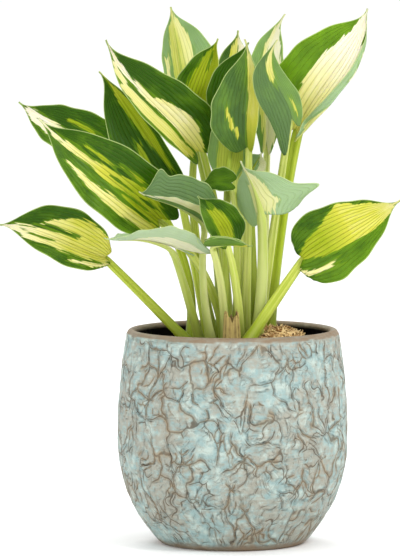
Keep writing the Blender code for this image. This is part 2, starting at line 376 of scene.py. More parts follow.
def capped(grid: Array, first_hub: Array, last_hub: Array) -> tuple[Array, list[list[int]]]:
    """A grid of rings, closed by a fan at each end.

    Args:
        grid: Points of shape (rows, columns, 3).
        first_hub: The point that closes the first ring.
        last_hub: The point that closes the last ring.

    Returns:
        All points, with the hubs last, and the faces.
    """
    rows, columns = grid.shape[:2]
    total = rows * columns
    faces = grid_faces(rows, columns).tolist()
    faces += fan(0, columns, total, ending=False) + fan(total - columns, columns, total + 1, ending=True)
    return np.concatenate([grid.reshape(-1, 3), [first_hub, last_hub]]), faces


def turned_ring(radii: Array, heights: Array, columns: int) -> Array:
    """Points of turned rings: radius times the cosine and sine of each column's angle, and height.

    Args:
        radii: The radius of each row, or of each row and column.
        heights: The height of each row, or of each row and column.
        columns: Number of columns.

    Returns:
        Points of shape (rows, columns, 3).
    """
    angle = np.arange(columns) * math.tau / columns
    radii, heights = np.atleast_2d(radii), np.atleast_2d(heights)
    flat = np.broadcast_to(radii, np.broadcast_shapes(radii.shape, (1, columns)))
    return np.stack([flat * np.cos(angle), flat * np.sin(angle), heights + 0 * flat], axis=-1)


@dataclass
class Piece:
    """A mesh in the making: points in mm, faces, and values stored at the points."""

    name: str
    points: Array
    faces: list
    values: dict

    def add(self, material: bpy.types.Material, slot: str, replaces: tuple[str, ...]) -> None:
        """Makes the object, which rides on the part's body.

        Args:
            material: Its finish.
            slot: Not used.
            replaces: The CAD nodes that it stands for.
        """
        mesh = bpy.data.meshes.new(self.name)
        mesh.from_pydata((self.points.reshape(-1, 3) * MM).tolist(), [], self.faces)
        mesh.update()
        for name, data in self.values.items():
            data = np.asarray(data, np.float32)
            kind = "FLOAT_VECTOR" if data.ndim == 2 else "FLOAT"
            layer = mesh.attributes.new(name, kind, "POINT")
            layer.data.foreach_set("vector" if data.ndim == 2 else "value", data.ravel())
        mesh.shade_smooth()
        mesh.materials.append(material)
        thing = bpy.data.objects.new(self.name, mesh)
        bpy.context.scene.collection.objects.link(thing)
        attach(thing, BODY)
        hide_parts(*replaces)
        LOG.info("%s: %d faces", self.name, len(mesh.polygons))


# ---------------------------------------------------------------- the cover pot


@dataclass(frozen=True)
class GlazeFinish:
    """A matt aqua wash over taupe stoneware that is creased like crumpled paper."""

    aqua: Colour = paint(152, 177, 175)
    pale: Colour = paint(184, 199, 191)
    taupe: Colour = paint(162, 158, 144)
    crease: Colour = paint(76, 60, 42)
    bronze: Colour = paint(150, 114, 60)
    bare: Colour = paint(134, 110, 84)
    # Inside: the inner wall's dark brown, darkened to near black as painted shade in the pot's hollow.
    inside: Colour = paint(8, 4, 2)
    cells: tuple[float, float, float] = (0.0155, 0.0092, 0.0055)
    wide_bend: float = 0.04
    fine_bend: float = 0.0028

    def edges(self, s: Shader, spot: Wire, size: float) -> Wire:
        """The distance to the nearest border between flat cells, in shares of a cell."""
        settings = {"voronoi_dimensions": "2D", "feature": "DISTANCE_TO_EDGE"}
        inputs = {"Vector": spot, "Scale": 1 / size, "Randomness": 1.0}
        return s.node("ShaderNodeTexVoronoi", settings, inputs, "Distance")

    def creases(self, s: Shader, wall: Wire, bend: Wire, keeps: tuple[Wire, ...]) -> tuple[Wire, ...]:
        """The creases of one unwrapped half of the wall.

        Formula: the borders of three sizes of cells, which slow noise bends. Noise wipes out part
        of each size, so that the creases branch and end.

        Args:
            s: The shader.
            wall: The place along and up the unwrapped wall, in metres.
            bend: How far noise moves that place.
            keeps: Where each of the three sizes stays, 0 to 1.

        Returns:
            The lines and the halo beside them from 0 to 1, and the relief.
        """
        bent = s.shift(wall, bend)
        wide = self.edges(s, s.stretch(bent, (1.0, 0.72, 1.0)), self.cells[0])
        middle = self.edges(s, s.stretch(bent, (1.1, 0.7, 1.0)), self.cells[1])
        small = self.edges(s, bent, self.cells[2])
        lines = (wide.step(0.04, 0.014) * keeps[0]).at_least(middle.step(0.05, 0.015) * keeps[1])
        lines = lines.at_least(small.step(0.05, 0.012) * keeps[2] * 0.4)
        halo = (wide.step(0.12, 0.03) * keeps[0]).at_least(middle.step(0.13, 0.03) * keeps[1])
        relief = wide.step(0.0, 0.17) * keeps[0] * 0.5 + middle.step(0.0, 0.2) * keeps[1] * 0.34
        return lines, halo, relief + small.step(0.0, 0.2) * keeps[2] * 0.16

    def build(self) -> bpy.types.Material:
        """Makes the material.

        It reads the stored values wall, bare and inside, and the two unwrapped places front and
        behind. Each of them is torn on its far side, where the other one takes over.
        """
        s = Shader("stoneware_glaze")
        place = s.place()
        centred = s.shift(s.noise(place, 36, 2, "Color"), (-0.5, -0.5, -0.5))
        finer = s.shift(s.noise(place, 130, 2, "Color"), (-0.5, -0.5, -0.5))
        bend = s.shift(s.stretch(centred, (self.wide_bend,) * 3), s.stretch(finer, (self.fine_bend,) * 3))
        keeps = (
            s.noise(place, 52, 2).step(0.4, 0.5),
            s.noise(place, 64, 2).step(0.48, 0.58),
            s.noise(place, 90, 1).step(0.5, 0.6),
        )
        ahead = self.creases(s, s.attribute("front", "Vector"), bend, keeps)
        behind = self.creases(s, s.attribute("behind", "Vector"), bend, keeps)
        facing = s.attribute("facing").step(-0.12, 0.12)
        wall = s.attribute("wall")
        line, halo, pillow = [
            (one * facing + other * (1 - facing)) * wall for one, other in zip(ahead, behind)
        ]
        patch = s.noise(place, 30, 3)
        brushed = s.noise(s.stretch(place, (60, 60, 700)), 1, 3)
        grit = s.noise(place, 260, 3)
        wear = (patch * 0.6 + brushed * 0.3 + grit * 0.55).step(0.6, 0.86)
        wash = s.mix(s.noise(place, 150, 3).step(0.42, 0.66), self.aqua, self.pale)
        colour = s.mix(wear * 0.85, wash, self.taupe)
        gold = s.noise(place, 48, 2).step(0.4, 0.6)
        colour = s.mix(halo * (0.05 + gold * 0.4), colour, self.bronze)
        colour = s.mix(line * (0.76 - gold * 0.22), colour, self.crease)
        colour = s.mix(s.noise(place, 1000, 1).step(0.66, 0.74) * wall * 0.4, colour, self.crease)
        colour = s.mix(s.attribute("bare") * (0.55 + brushed * 0.5), colour, self.bare)
        # Painted shade: the inner wall and inner floor take the near-black inside colour.
        colour = s.mix(s.attribute("inside"), colour, self.inside)
        folds = s.bump(pillow, 0.0032)
        rough = s.bump(s.noise(place, 150, 3), 0.0018, folds)
        normal = s.bump(brushed * 0.5 + grit * 0.5, 0.0005, rough)
        matt = 0.7 - wear * 0.12 + s.attribute("inside") * 0.3
        return s.finish(Base_Color=colour, Roughness=matt, Normal=normal, Specular_IOR_Level=0.12)


@dataclass
class CoverPot:
    """The round stoneware pot, with creases in its outer wall. Sizes are in mm.

    Relief and worn hold the strength, the size and the seed of lumps.
    """

    foot_radius: float = 50.0
    belly_radius: float = 79.5
    belly_height: float = 78.0
    height: float = 148.0
    rim_radius: float = 73.0
    wall: float = 6.0
    floor: float = 10.0
    foot_round: float = 2.0
    columns: int = 560
    rings: int = 140
    inner_columns: int = 140
    sink: float = 0.25
    apart: float = 700.0
    corner: float = 6.0
    relief: tuple[tuple[float, float, int], ...] = ((0.45, 16, 31), (0.3, 6, 51))
    worn: tuple[float, float, int] = (1.1, 9, 61)

    def radius(self, height: Array) -> Array:
        """The outer radius.

        Formula: foot + (belly - foot)(1 - (1 - z / belly height) to the power 2.5) below the belly,
        and belly - (belly - rim) times the square of the share of the way up above it.

        Args:
            height: Heights in mm.

        Returns:
            Radii in mm.
        """
        below = np.clip(1 - height / self.belly_height, 0, 1)
        low = self.foot_radius + (self.belly_radius - self.foot_radius) * (1 - below**2.5)
        above = (height - self.belly_height) / (self.height - self.belly_height)
        high = self.belly_radius - (self.belly_radius - self.rim_radius) * above**2
        return np.where(height < self.belly_height, low, high)

    def outer(self) -> tuple[Array, dict]:
        """The outer wall, from the foot up to the lip.

        Formula: the plain radius with lumps of two sizes, which fade out at the foot and the lip.

        Returns:
            Points and stored values.
        """
        heights = np.linspace(self.foot_round, self.height - self.wall / 2, self.rings)
        plain = turned_ring(self.radius(heights)[:, None], heights[:, None], self.columns)
        relief = sum(strength * lumps(plain, size, seed) for strength, size, seed in self.relief)
        edge = smooth_step(heights, 2, 7) * (1 - smooth_step(heights, self.height - 6, self.height - 3))
        relief = relief * edge[:, None] - self.sink
        points = turned_ring(self.radius(heights)[:, None] + relief, heights[:, None], self.columns)
        worn = self.worn[0] * lumps(plain, *self.worn[1:])
        lip = smooth_step(heights[:, None] + worn, self.height - 3.6, self.height - 2.4)
        foot = 1 - smooth_step(heights[:, None] + worn, 2, 6)
        values = {"wall": edge[:, None] + 0 * lip, "bare": np.maximum(lip, foot), "inside": 0 * lip}
        return points, values

    def unwrap(self, points: Array) -> dict:
        """Two unwrapped places on the wall.

        Formula: the angle from the front, and from the back, times the belly's radius, with the
        height; and the share by which a point lies in front of the middle. The second half is
        moved apart, so that its creases differ.

        Args:
            points: All points of the pot in mm.

        Returns:
            The stored values front and behind in metres, and facing.
        """
        x, y, z = points.T
        front = np.stack([np.arctan2(x, -y) * self.belly_radius, z, 0 * z], axis=-1) * MM
        behind = np.stack([np.arctan2(-x, y) * self.belly_radius + self.apart, z, 0 * z], axis=-1) * MM
        return {"front": front, "behind": behind, "facing": -y / self.belly_radius}

    def rings_at(self, profile: list, columns: int, inside: float) -> tuple[Array, dict]:
        """Plain turned rings.

        Args:
            profile: The radius and height of each ring, in mm.
            columns: Number of columns.
            inside: How dark the finish is, 0 or 1.

        Returns:
            Points and stored values.
        """
        radii, heights = np.array(profile).T
        points = turned_ring(radii[:, None], heights[:, None], columns)
        same = np.ones(points.shape[:2])
        values = {"wall": 0 * same, "bare": same, "inside": inside * same}
        return points, values

    def build(self) -> Piece:
        """The whole pot as one closed surface: outer wall, lip, inner wall, inner floor and foot."""
        lip = self.wall / 2
        turn = np.radians(np.linspace(15, 165, 9))
        centre = self.rim_radius - lip
        over = [(centre + lip * math.cos(a) - 0.2, self.height - lip + lip * math.sin(a)) for a in turn]
        down = np.linspace(self.height - lip - 1, self.floor + 8, 24)
        inner = [(float(self.radius(z)) - self.wall, z) for z in down]
        reach, corner = inner[-1][0], self.corner
        round_in = [
            (reach - corner + corner * math.cos(a), self.floor + corner - corner * math.sin(a))
            for a in np.radians(np.linspace(10, 90, 5))
        ]
        flat = [(reach * share, self.floor) for share in (0.6, 0.25)]
        under = [(self.foot_radius - r, z) for r, z in ((0.2, 0.9), (0.7, 0.3), (self.foot_round, 0.0))]
        bands = [
            self.rings_at(list(reversed(under)), self.columns, 0.0),
            self.outer(),
            self.rings_at(over, self.columns, 0.0),
            self.rings_at(inner + round_in + flat, self.inner_columns, 1.0),
        ]
        return self.join(bands)

    def join(self, bands: list[tuple[Array, dict]]) -> Piece:
        """Joins the bands of rings into one closed surface.

        Args:
            bands: The points and stored values of each band, from the foot, up the outside, over the
                lip and down to the inner floor.

        Returns:
            The closed piece.
        """
        dense = np.concatenate([points for points, _ in bands[:-1]])
        sparse = bands[-1][0]
        count, inner = self.columns, self.inner_columns
        first_inner = dense.shape[0] * count
        faces = grid_faces(dense.shape[0], count).tolist()
        faces += grid_faces(sparse.shape[0], inner, first_inner).tolist()
        last = (dense.shape[0] - 1) * count
        ratio = count // inner
        for k in range(inner):
            ends = [last + (k * ratio + j) % count for j in range(ratio + 1)]
            faces.append([*ends, first_inner + (k + 1) % inner, first_inner + k])
        points = np.concatenate([dense.reshape(-1, 3), sparse.reshape(-1, 3)])
        last_inner = first_inner + (sparse.shape[0] - 1) * inner
        foot, floor = len(points), len(points) + 1
        points = np.concatenate([points, [[0, 0, 0.0], [0, 0, self.floor]]])
        faces += fan(0, count, foot, ending=False) + fan(last_inner, inner, floor, ending=True)
        ends = {"wall": (0, 0), "bare": (1, 1), "inside": (0, 1)}
        values = {
            name: np.concatenate([band[name].ravel() for _, band in bands] + [ends[name]]) for name in ends
        }
        return Piece("cover_pot_body", points, faces, values | self.unwrap(points))

    def dress(self) -> None:
        """Builds the pot and gives it its glaze."""
        self.build().add(GlazeFinish().build(), "stoneware_glaze", ("cover_pot",))


# ---------------------------------------------------------------- soil and what lies on it


@dataclass(frozen=True)
class PlasticFinish:
    """Black moulded plastic, dusty with soil."""

    black: Colour = paint(30, 28, 27)
    dust: Colour = paint(74, 60, 48)

    def build(self) -> bpy.types.Material:
        """Makes the material."""
        s = Shader("black_plastic")
        place = s.place()
        dusty = s.noise(place, 160, 4)
        colour = s.mix(dusty.step(0.5, 0.75), self.black, self.dust)
        return s.finish(
            Base_Color=colour,
            Roughness=0.5 + dusty * 0.3,
            Normal=s.bump(s.noise(place, 1500, 2), 0.00005),
            Specular_IOR_Level=0.2,
        )

    def dress(self) -> None:
        """Gives the CAD nursery pot this finish."""
        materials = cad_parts["nursery_pot"].data.materials
        materials.clear()
        materials.append(self.build())


@dataclass(frozen=True)
class GroundFinish:
    """Loose natural matter: soil, husk or dry sheath, with grains and fibres."""

    name: str
    dark: Colour
    light: Colour
    scale: float
    rough: float

    def build(self) -> bpy.types.Material:
        """Makes the material. The stored value shade moves each piece's colour."""
        s = Shader(self.name)
        place = s.place()
        grain = s.noise(place, self.scale, 4)
        shade = s.attribute("shade") * 0.6 + grain * 0.55
        colour = s.mix(shade.step(0.2, 0.85), self.dark, self.light)
        normal = s.bump(s.noise(place, self.scale * 3, 3), 0.0003)
        return s.finish(Base_Color=colour, Roughness=self.rough, Normal=normal)


@dataclass
class Soil:
    """The crumbly soil in the nursery pot, down to the root ball. Sizes are in mm.

    Crumb and grit hold the strength, the size and the seed of lumps.
    """

    top: float = 139.0
    edge: float = 131.0
    bottom: float = 12.0
    reach: float = 52.3
    low_reach: float = 38.6
    rings: int = 44
    columns: int = 180
    crumb: tuple[float, float, int] = (1.6, 7, 81)
    grit: tuple[float, float, int] = (0.9, 3, 82)

    def build(self) -> Piece:
        """The soil as one closed turned surface.

        Formula: the top is level, rounds off to the edge, and carries crumbs and finer grit.
        """
        radii = np.linspace(0.4, self.reach, self.rings)
        heights = self.top - (self.top - self.edge) * smooth_step(radii, 42, self.reach)
        top = turned_ring(radii[::-1, None], heights[::-1, None], self.columns)
        crumbs = self.crumb[0] * lumps(top, *self.crumb[1:], layers=3)
        crumbs = crumbs + self.grit[0] * np.abs(lumps(top, *self.grit[1:], layers=1))
        top[..., 2] += (crumbs - 0.6) * smooth_step(self.reach - radii[::-1], 0, 3)[:, None]
        side = turned_ring(np.array([[self.low_reach]]), np.array([[self.bottom]]), self.columns)
        points, faces = capped(np.concatenate([side, top]), (0, 0, self.bottom), (0, 0, self.top))
        shade = np.concatenate([np.full(self.columns, 0.3), (0.4 + 0.5 * crumbs).ravel(), [0.3, 0.4]])
        return Piece("soil_surface", points, faces, {"shade": shade})

    def dress(self) -> None:
        """Builds the soil and gives it its finish."""
        finish = GroundFinish("potting_soil", paint(26, 18, 14), paint(92, 66, 46), 420, 0.95)
        self.build().add(finish.build(), "potting_soil", ("soil",))


def rotations(turns: Array) -> Array:
    """Rotation matrices for turns about z, then y, then x.

    Formula: the product of the three plane rotations, worked out for all rows at once.

    Args:
        turns: Angles in radians, three for each matrix.

    Returns:
        Matrices of shape (count, 3, 3).
    """
    matrix = np.broadcast_to(np.eye(3), (len(turns), 3, 3)).copy()
    for axis in (2, 1, 0):
        cos, sin = np.cos(turns[:, axis]), np.sin(turns[:, axis])
        turn = np.broadcast_to(np.eye(3), (len(turns), 3, 3)).copy()
        first, second = (axis + 1) % 3, (axis + 2) % 3
        turn[:, first, first], turn[:, second, second] = cos, cos
        turn[:, first, second], turn[:, second, first] = -sin, sin
        matrix = np.einsum("nij,njk->nik", turn, matrix)
    return matrix


@dataclass(frozen=True)
class Flakes:
    """Many small bent chips or fibres, made from one low pattern."""

    count: int
    length: tuple[float, float]
    width: tuple[float, float]
    thick: float
    seed: int
    tilt: float = 0.7

    def pattern(self) -> tuple[Array, Array]:
        """A chip of unit size: four rings of four corners, narrowed at its ends.

        Returns:
            Points and quads.
        """
        along = np.linspace(-0.5, 0.5, 4)
        narrow = 1 - 0.75 * np.abs(2 * along) ** 2.2
        angle = np.radians([45, 135, 225, 315])
        across = [(narrow[:, None] * turn(angle)).ravel() * 0.7 for turn in (np.cos, np.sin)]
        points = np.stack([np.repeat(along, 4), *across], axis=-1)
        quads = grid_faces(4, 4)
        caps = np.array([[3, 2, 1, 0], [12, 13, 14, 15]])
        return points, np.concatenate([quads, caps])

    def build(self, centres: Array) -> tuple[Array, Array, Array]:
        """Places the chips.

        Formula: each chip is the pattern, scaled, bowed by the square of its length, turned and
        moved to its centre.

        Args:
            centres: Where the chips lie, in mm.

        Returns:
            Points, quads and each point's shade.
        """
        chance = np.random.default_rng(self.seed)
        pattern, quads = self.pattern()
        lengths = chance.uniform(*self.length, self.count)
        widths = chance.uniform(*self.width, self.count)
        size = np.stack([lengths, widths, np.full(self.count, self.thick)], axis=-1)
        points = pattern[None] * size[:, None, :]
        bow = chance.uniform(-0.9, 0.9, self.count)[:, None] * size[:, :1]
        points[..., 2] += bow * (pattern[None, :, 0] ** 2 - 0.1) * 1.4
        points[..., 1] += bow * pattern[None, :, 0] ** 2 * chance.uniform(-0.7, 0.7, (self.count, 1))
        lie, spin = np.zeros((self.count, 3)), np.zeros((self.count, 3))
        lie[:, 0] = chance.uniform(-1, 1, self.count) * self.tilt
        lie[:, 1] = chance.normal(0, 1, self.count) * self.tilt * 0.6
        spin[:, 2] = chance.uniform(0, math.tau, self.count)
        matrix = rotations(spin) @ rotations(lie)
        points = np.einsum("nij,npj->npi", matrix, points) + centres[:, None, :]
        faces = quads[None] + (np.arange(self.count) * len(pattern))[:, None, None]
        shade = np.repeat(chance.uniform(0, 1, self.count), len(pattern))
        return points.reshape(-1, 3), faces.reshape(-1, 4), shade


@dataclass
class HuskMulch:
    """Loose husk chips: a heap on the right, and some more between the stalks. Sizes are in mm."""

    centre: tuple[float, float] = (29.0, -8.0)
    reach: tuple[float, float, float] = (21.0, 27.0, 11.5)
    ground: float = 138.6
    heap_chips: Flakes = Flakes(1000, (4.0, 11.0), (1.0, 2.6), 0.7, 15)
    loose_chips: Flakes = Flakes(260, (3.0, 8.0), (0.8, 2.4), 0.6, 16, 0.35)
    loose_reach: float = 47.0
    seeds: tuple[int, int] = (5, 6)

    def heap(self) -> Array:
        """Centres in the heap: even over its plan, and up to the ellipsoid's height there."""
        chance, count = np.random.default_rng(self.seeds[0]), self.heap_chips.count
        angle = chance.uniform(0, math.tau, count)
        out = np.sqrt(chance.uniform(0, 1, count)) * 0.97
        height = np.sqrt(1 - out**2) * chance.uniform(0.35, 1.0, count)
        x = self.centre[0] + self.reach[0] * out * np.cos(angle)
        y = self.centre[1] + self.reach[1] * out * np.sin(angle)
        return np.stack([x, y, self.ground + self.reach[2] * height], axis=-1)

    def loose(self) -> Array:
        """Centres of the loose chips, spread over the soil."""
        chance, count = np.random.default_rng(self.seeds[1]), self.loose_chips.count
        angle = chance.uniform(0, math.tau, count)
        out = np.sqrt(chance.uniform(0.05, 1, count)) * self.loose_reach
        ground = np.full(count, self.ground + 1.5)
        return np.stack([out * np.cos(angle), out * np.sin(angle), ground], axis=-1)

    def build(self) -> Piece:
        """All chips as one piece of many small closed solids."""
        heap = self.heap_chips.build(self.heap())
        loose = self.loose_chips.build(self.loose())
        points = np.concatenate([heap[0], loose[0]])
        faces = np.concatenate([heap[1], loose[1] + len(heap[0])]).tolist()
        shade = np.concatenate([heap[2], loose[2] * 0.7 - 0.3])
        return Piece("husk_chips", points, faces, {"shade": shade})

    def dress(self) -> None:
        """Builds the chips and gives them their finish."""
        finish = GroundFinish("husk", paint(158, 112, 58), paint(238, 208, 148), 500, 0.8)
        self.build().add(finish.build(), "husk", ("husk_mulch",))


# ---------------------------------------------------------------- stalks and blades


@dataclass(frozen=True)
class BladeFinish:
    """A hosta blade: cream bands in green, feathered along the veins, with a pale grey underside."""

    white: Colour = paint(244, 236, 214)
    cream: Colour = paint(232, 224, 152)
    yellow: Colour = paint(200, 198, 66)
    lime: Colour = paint(152, 168, 20)
    dark: Colour = paint(46, 84, 0)
    fresh: Colour = paint(118, 160, 26)
    feather: Colour = paint(106, 142, 10)
    bloom: Colour = paint(152, 180, 132)
    pale_bloom: Colour = paint(204, 212, 150)
    # Painted light: a pale tint that lightens blades lying in shade, where under is above 1.
    painted_light: Colour = paint(212, 226, 196)
    rim: Colour = paint(196, 212, 140)
    vein: Colour = paint(122, 132, 22)
    streaks: Stretch = (0.62, 0.055, 7.3)
    feathers: Stretch = (0.5, 0.035, 3.1)
    mottles: Stretch = (0.12, 0.07, 5.7)
    pores: Stretch = (1.6, 0.5, 1.0)

    def build(self) -> bpy.types.Material:
        """Makes the material.

        It reads band (mm inside a pale band), tint (0 white to 1 lime), fresh (0 dark to 1 bright
        green), under (1 on the underside, and up to 2 where a shaded blade is lightened as painted
        light), rim (mm to the margin), vein (its phase) and grain (mm across and along the blade,
        and the leaf's number).
        """
        s = Shader("leaf_blade")
        grain = s.attribute("grain", "Vector")
        band, under = s.attribute("band"), s.attribute("under")
        streak = s.noise(s.stretch(grain, self.streaks), 1, 3)
        second = s.noise(s.stretch(grain, self.feathers), 1, 2)
        mottle = s.noise(s.stretch(grain, self.mottles), 1, 3)
        inside = (band + (streak - 0.5) * 7).step(-0.3, 0.3)
        near = (band + (second - 0.5) * 9 + 1.0).step(-0.4, 0.4)
        tint = s.attribute("tint") + (streak - 0.5) * 0.35
        light = s.ramp(tint, [(0.0, self.white), (0.3, self.cream), (0.6, self.yellow), (1.0, self.lime)])
        green = s.mix(s.attribute("fresh") + (mottle - 0.5) * 1.1, self.dark, self.fresh)
        green = s.mix(near * 0.6, green, self.feather)
        upper = s.mix(inside, green, light)
        grey = s.mix(near * 0.35, self.bloom, self.feather)
        lower = s.mix(inside * 0.85, grey, s.mix(0.3, light, self.pale_bloom))
        # Painted light: where under is above 1, the blade is lightened towards a pale tint, less so in the
        # pale bands.
        colour = s.mix((under - 1) * (1 - inside * 0.7), s.mix(under, upper, lower), self.painted_light)
        groove = abs((s.attribute("vein") * math.pi).sine()).step(0.0, 0.45)
        colour = s.mix((1 - groove) * (inside * tint.at_most(0.8) * 0.75 + 0.1), colour, self.vein)
        margin = s.attribute("rim").step(0.75, 0.25)
        colour = s.mix(margin * 0.55, colour, self.rim)
        fine = s.bump(s.noise(s.stretch(grain, self.pores), 1, 2), 0.00012)
        normal = s.bump(groove, 0.00025, fine)
        return s.finish(
            Base_Color=colour,
            Roughness=0.36 + under * 0.15 + (mottle - 0.5) * 0.15,
            Normal=normal,
            Specular_IOR_Level=0.16,
            Subsurface_Weight=0.22,
            Subsurface_Scale=0.002,
            Subsurface_Radius=(0.8, 1.0, 0.3),
        )


@dataclass(frozen=True)
class StalkFinish:
    """A fleshy leaf stalk: pale yellow-green, with fine lengthwise streaks, and painted shade that makes it
    darker at its foot and on its sides and back.
    """

    cream: Colour = paint(220, 224, 158)
    pale: Colour = paint(198, 206, 92)
    lime: Colour = paint(168, 186, 40)
    # Olive is the colour of painted shade on the stalks.
    olive: Colour = paint(112, 132, 24)
    streaks: Stretch = (0.9, 0.02, 5.1)
    shades: Stretch = (0.22, 0.012, 2.3)

    def build(self) -> bpy.types.Material:
        """Makes the material.

        It reads grain (mm round and along, and the leaf's number), height (0 to 1), around (0 on
        the channel's side to 1 behind) and pale (0 for olive stalks to 1 for cream ones).
        """
        s = Shader("stalk")
        grain = s.attribute("grain", "Vector")
        height, around, pale = s.attribute("height"), s.attribute("around"), s.attribute("pale")
        streak = s.noise(s.stretch(grain, self.streaks), 1, 3)
        wide = s.noise(s.stretch(grain, self.shades), 1, 2)
        light = s.mix(pale * 1.3 - 0.3, self.pale, self.cream)
        colour = s.mix((streak * 0.8 + pale * 0.5).step(0.35, 0.8), self.lime, light)
        # Painted shade: the sides and back of each stalk, away from the channel, darken towards olive, and
        # towards lime on pale stalks, together with random lengthwise streaks.
        shaded = around.step(0.24, 0.62) * 0.6 + wide.step(0.5, 0.75) * 0.35
        colour = s.mix(shaded * (1.25 - pale * 0.4), colour, s.mix(pale * 0.7, self.olive, self.lime))
        # Painted shade: darker towards the foot, among the crowded stalk bases.
        colour = s.mix(height.step(0.3, -0.05) * 0.75, colour, self.olive)
        normal = s.bump(streak, 0.0002)
        return s.finish(
            Base_Color=colour,
            Roughness=0.4,
            Normal=normal,
            Specular_IOR_Level=0.25,
            Subsurface_Weight=0.2,
            Subsurface_Scale=0.003,
            Subsurface_Radius=(0.8, 1.0, 0.3),
        )


class Shade(Enum):
    """The pale tints of a cream band, from near white to lime."""

    WHITE = 0.0
    CREAM = 0.25
    YELLOW = 0.55
    LIME = 0.95


@dataclass(frozen=True)
class Band:
    """A pale or, as a cut, a green stretch of a blade between two shares of its length.

    The left and right edges are sides of the blade, -1 to 1, evenly spaced along the stretch.
    """

    start: float
    end: float
    left: tuple[float, ...]
    right: tuple[float, ...]
    tints: tuple[Shade, ...] = (Shade.YELLOW,)
    cut: bool = False

    def field(self, share: Array, side: Array, width: Array, length: float) -> Array:
        """How far inside the band each point is, in mm.

        Formula: the least of the distances to the left edge, the right edge and the two ends,
        where an end that is the blade's own base or tip doesn't count.

        Args:
            share: Shares of the length.
            side: Sides from -1 to 1.
            width: Half widths in mm.
            length: The blade's length in mm.

        Returns:
            Distances, negative outside.
        """
        left = np.interp(share, np.linspace(self.start, self.end, len(self.left)), self.left)
        right = np.interp(share, np.linspace(self.start, self.end, len(self.right)), self.right)
        inner = np.minimum(side - left, right - side) * width
        if self.start > 0:
            inner = np.minimum(inner, (share - self.start) * length * 0.35)
        if self.end < 1:
            inner = np.minimum(inner, (self.end - share) * length * 0.35)
        return inner

    def tint(self, share: Array) -> Array:
        """The tint along the band: straight lines between its tints, evenly spaced."""
        values = [tint.value for tint in self.tints]
        return np.interp(share, np.linspace(self.start, self.end, len(values)), values)


@dataclass(frozen=True)
class Leaf:
    """One leaf: a blade and its stalk. Left and right are seen with the upper side towards you and
    the tip up. The first fields repeat the part's own sizes, in mm and degrees."""

    name: str
    root: tuple[float, float]
    via: tuple[float, float, float]
    base: tuple[float, float, float]
    tip: tuple[float, float, float]
    face: tuple[float, float, float]
    half: tuple[float, float]
    bands: tuple[Band, ...] = ()
    fresh: tuple[float, float] = (0.3, 0.3)
    fold: tuple[float, float] = (20, 20)
    curl: tuple[float, float] = (10, 10)
    roll: tuple[float, float] = (0, 0)
    arch: float = 4.0
    flick: float = 2.0
    sweep: float = 0.0
    twist: float = 0.0
    lobe: tuple[float, float] = (7, 7)
    neck: float = 0.1
    widest: float = 0.3
    taper: float = 0.95
    stalk: tuple[float, float] = (3.4, 2.4)
    furl: tuple[float, float] = (0, 0)
    bulge: tuple[float, float] = (0, 0)
    bulge_at: float = 0.5
    bulge_reach: float = 0.08
    ripple: float = 0.9
    # Bloom gives the under value of the upper and lower side. Above 1 it adds painted light.
    bloom: tuple[float, float] = (0.0, 1.0)
    pale: float = 0.5

    def axes(self) -> tuple[Array, Array, Array]:
        """The blade's own axes: from base to tip, to the right, and out of the upper side."""
        along = unit(np.subtract(self.tip, self.base).astype(float))
        face = np.asarray(self.face, float)
        out = unit(face - along * (face @ along))
        return along, np.cross(along, out), out


def pick(pair: tuple[float, float], side: Array) -> Array:
    """The pair's first value left of the midrib, and its second value right of it."""
    return np.where(side > 0, pair[1], pair[0])


def both(upper: Array) -> Array:
    """A grid of the upper side, followed by itself turned round for the lower side."""
    return np.concatenate([upper, upper[:, ::-1]], axis=1)


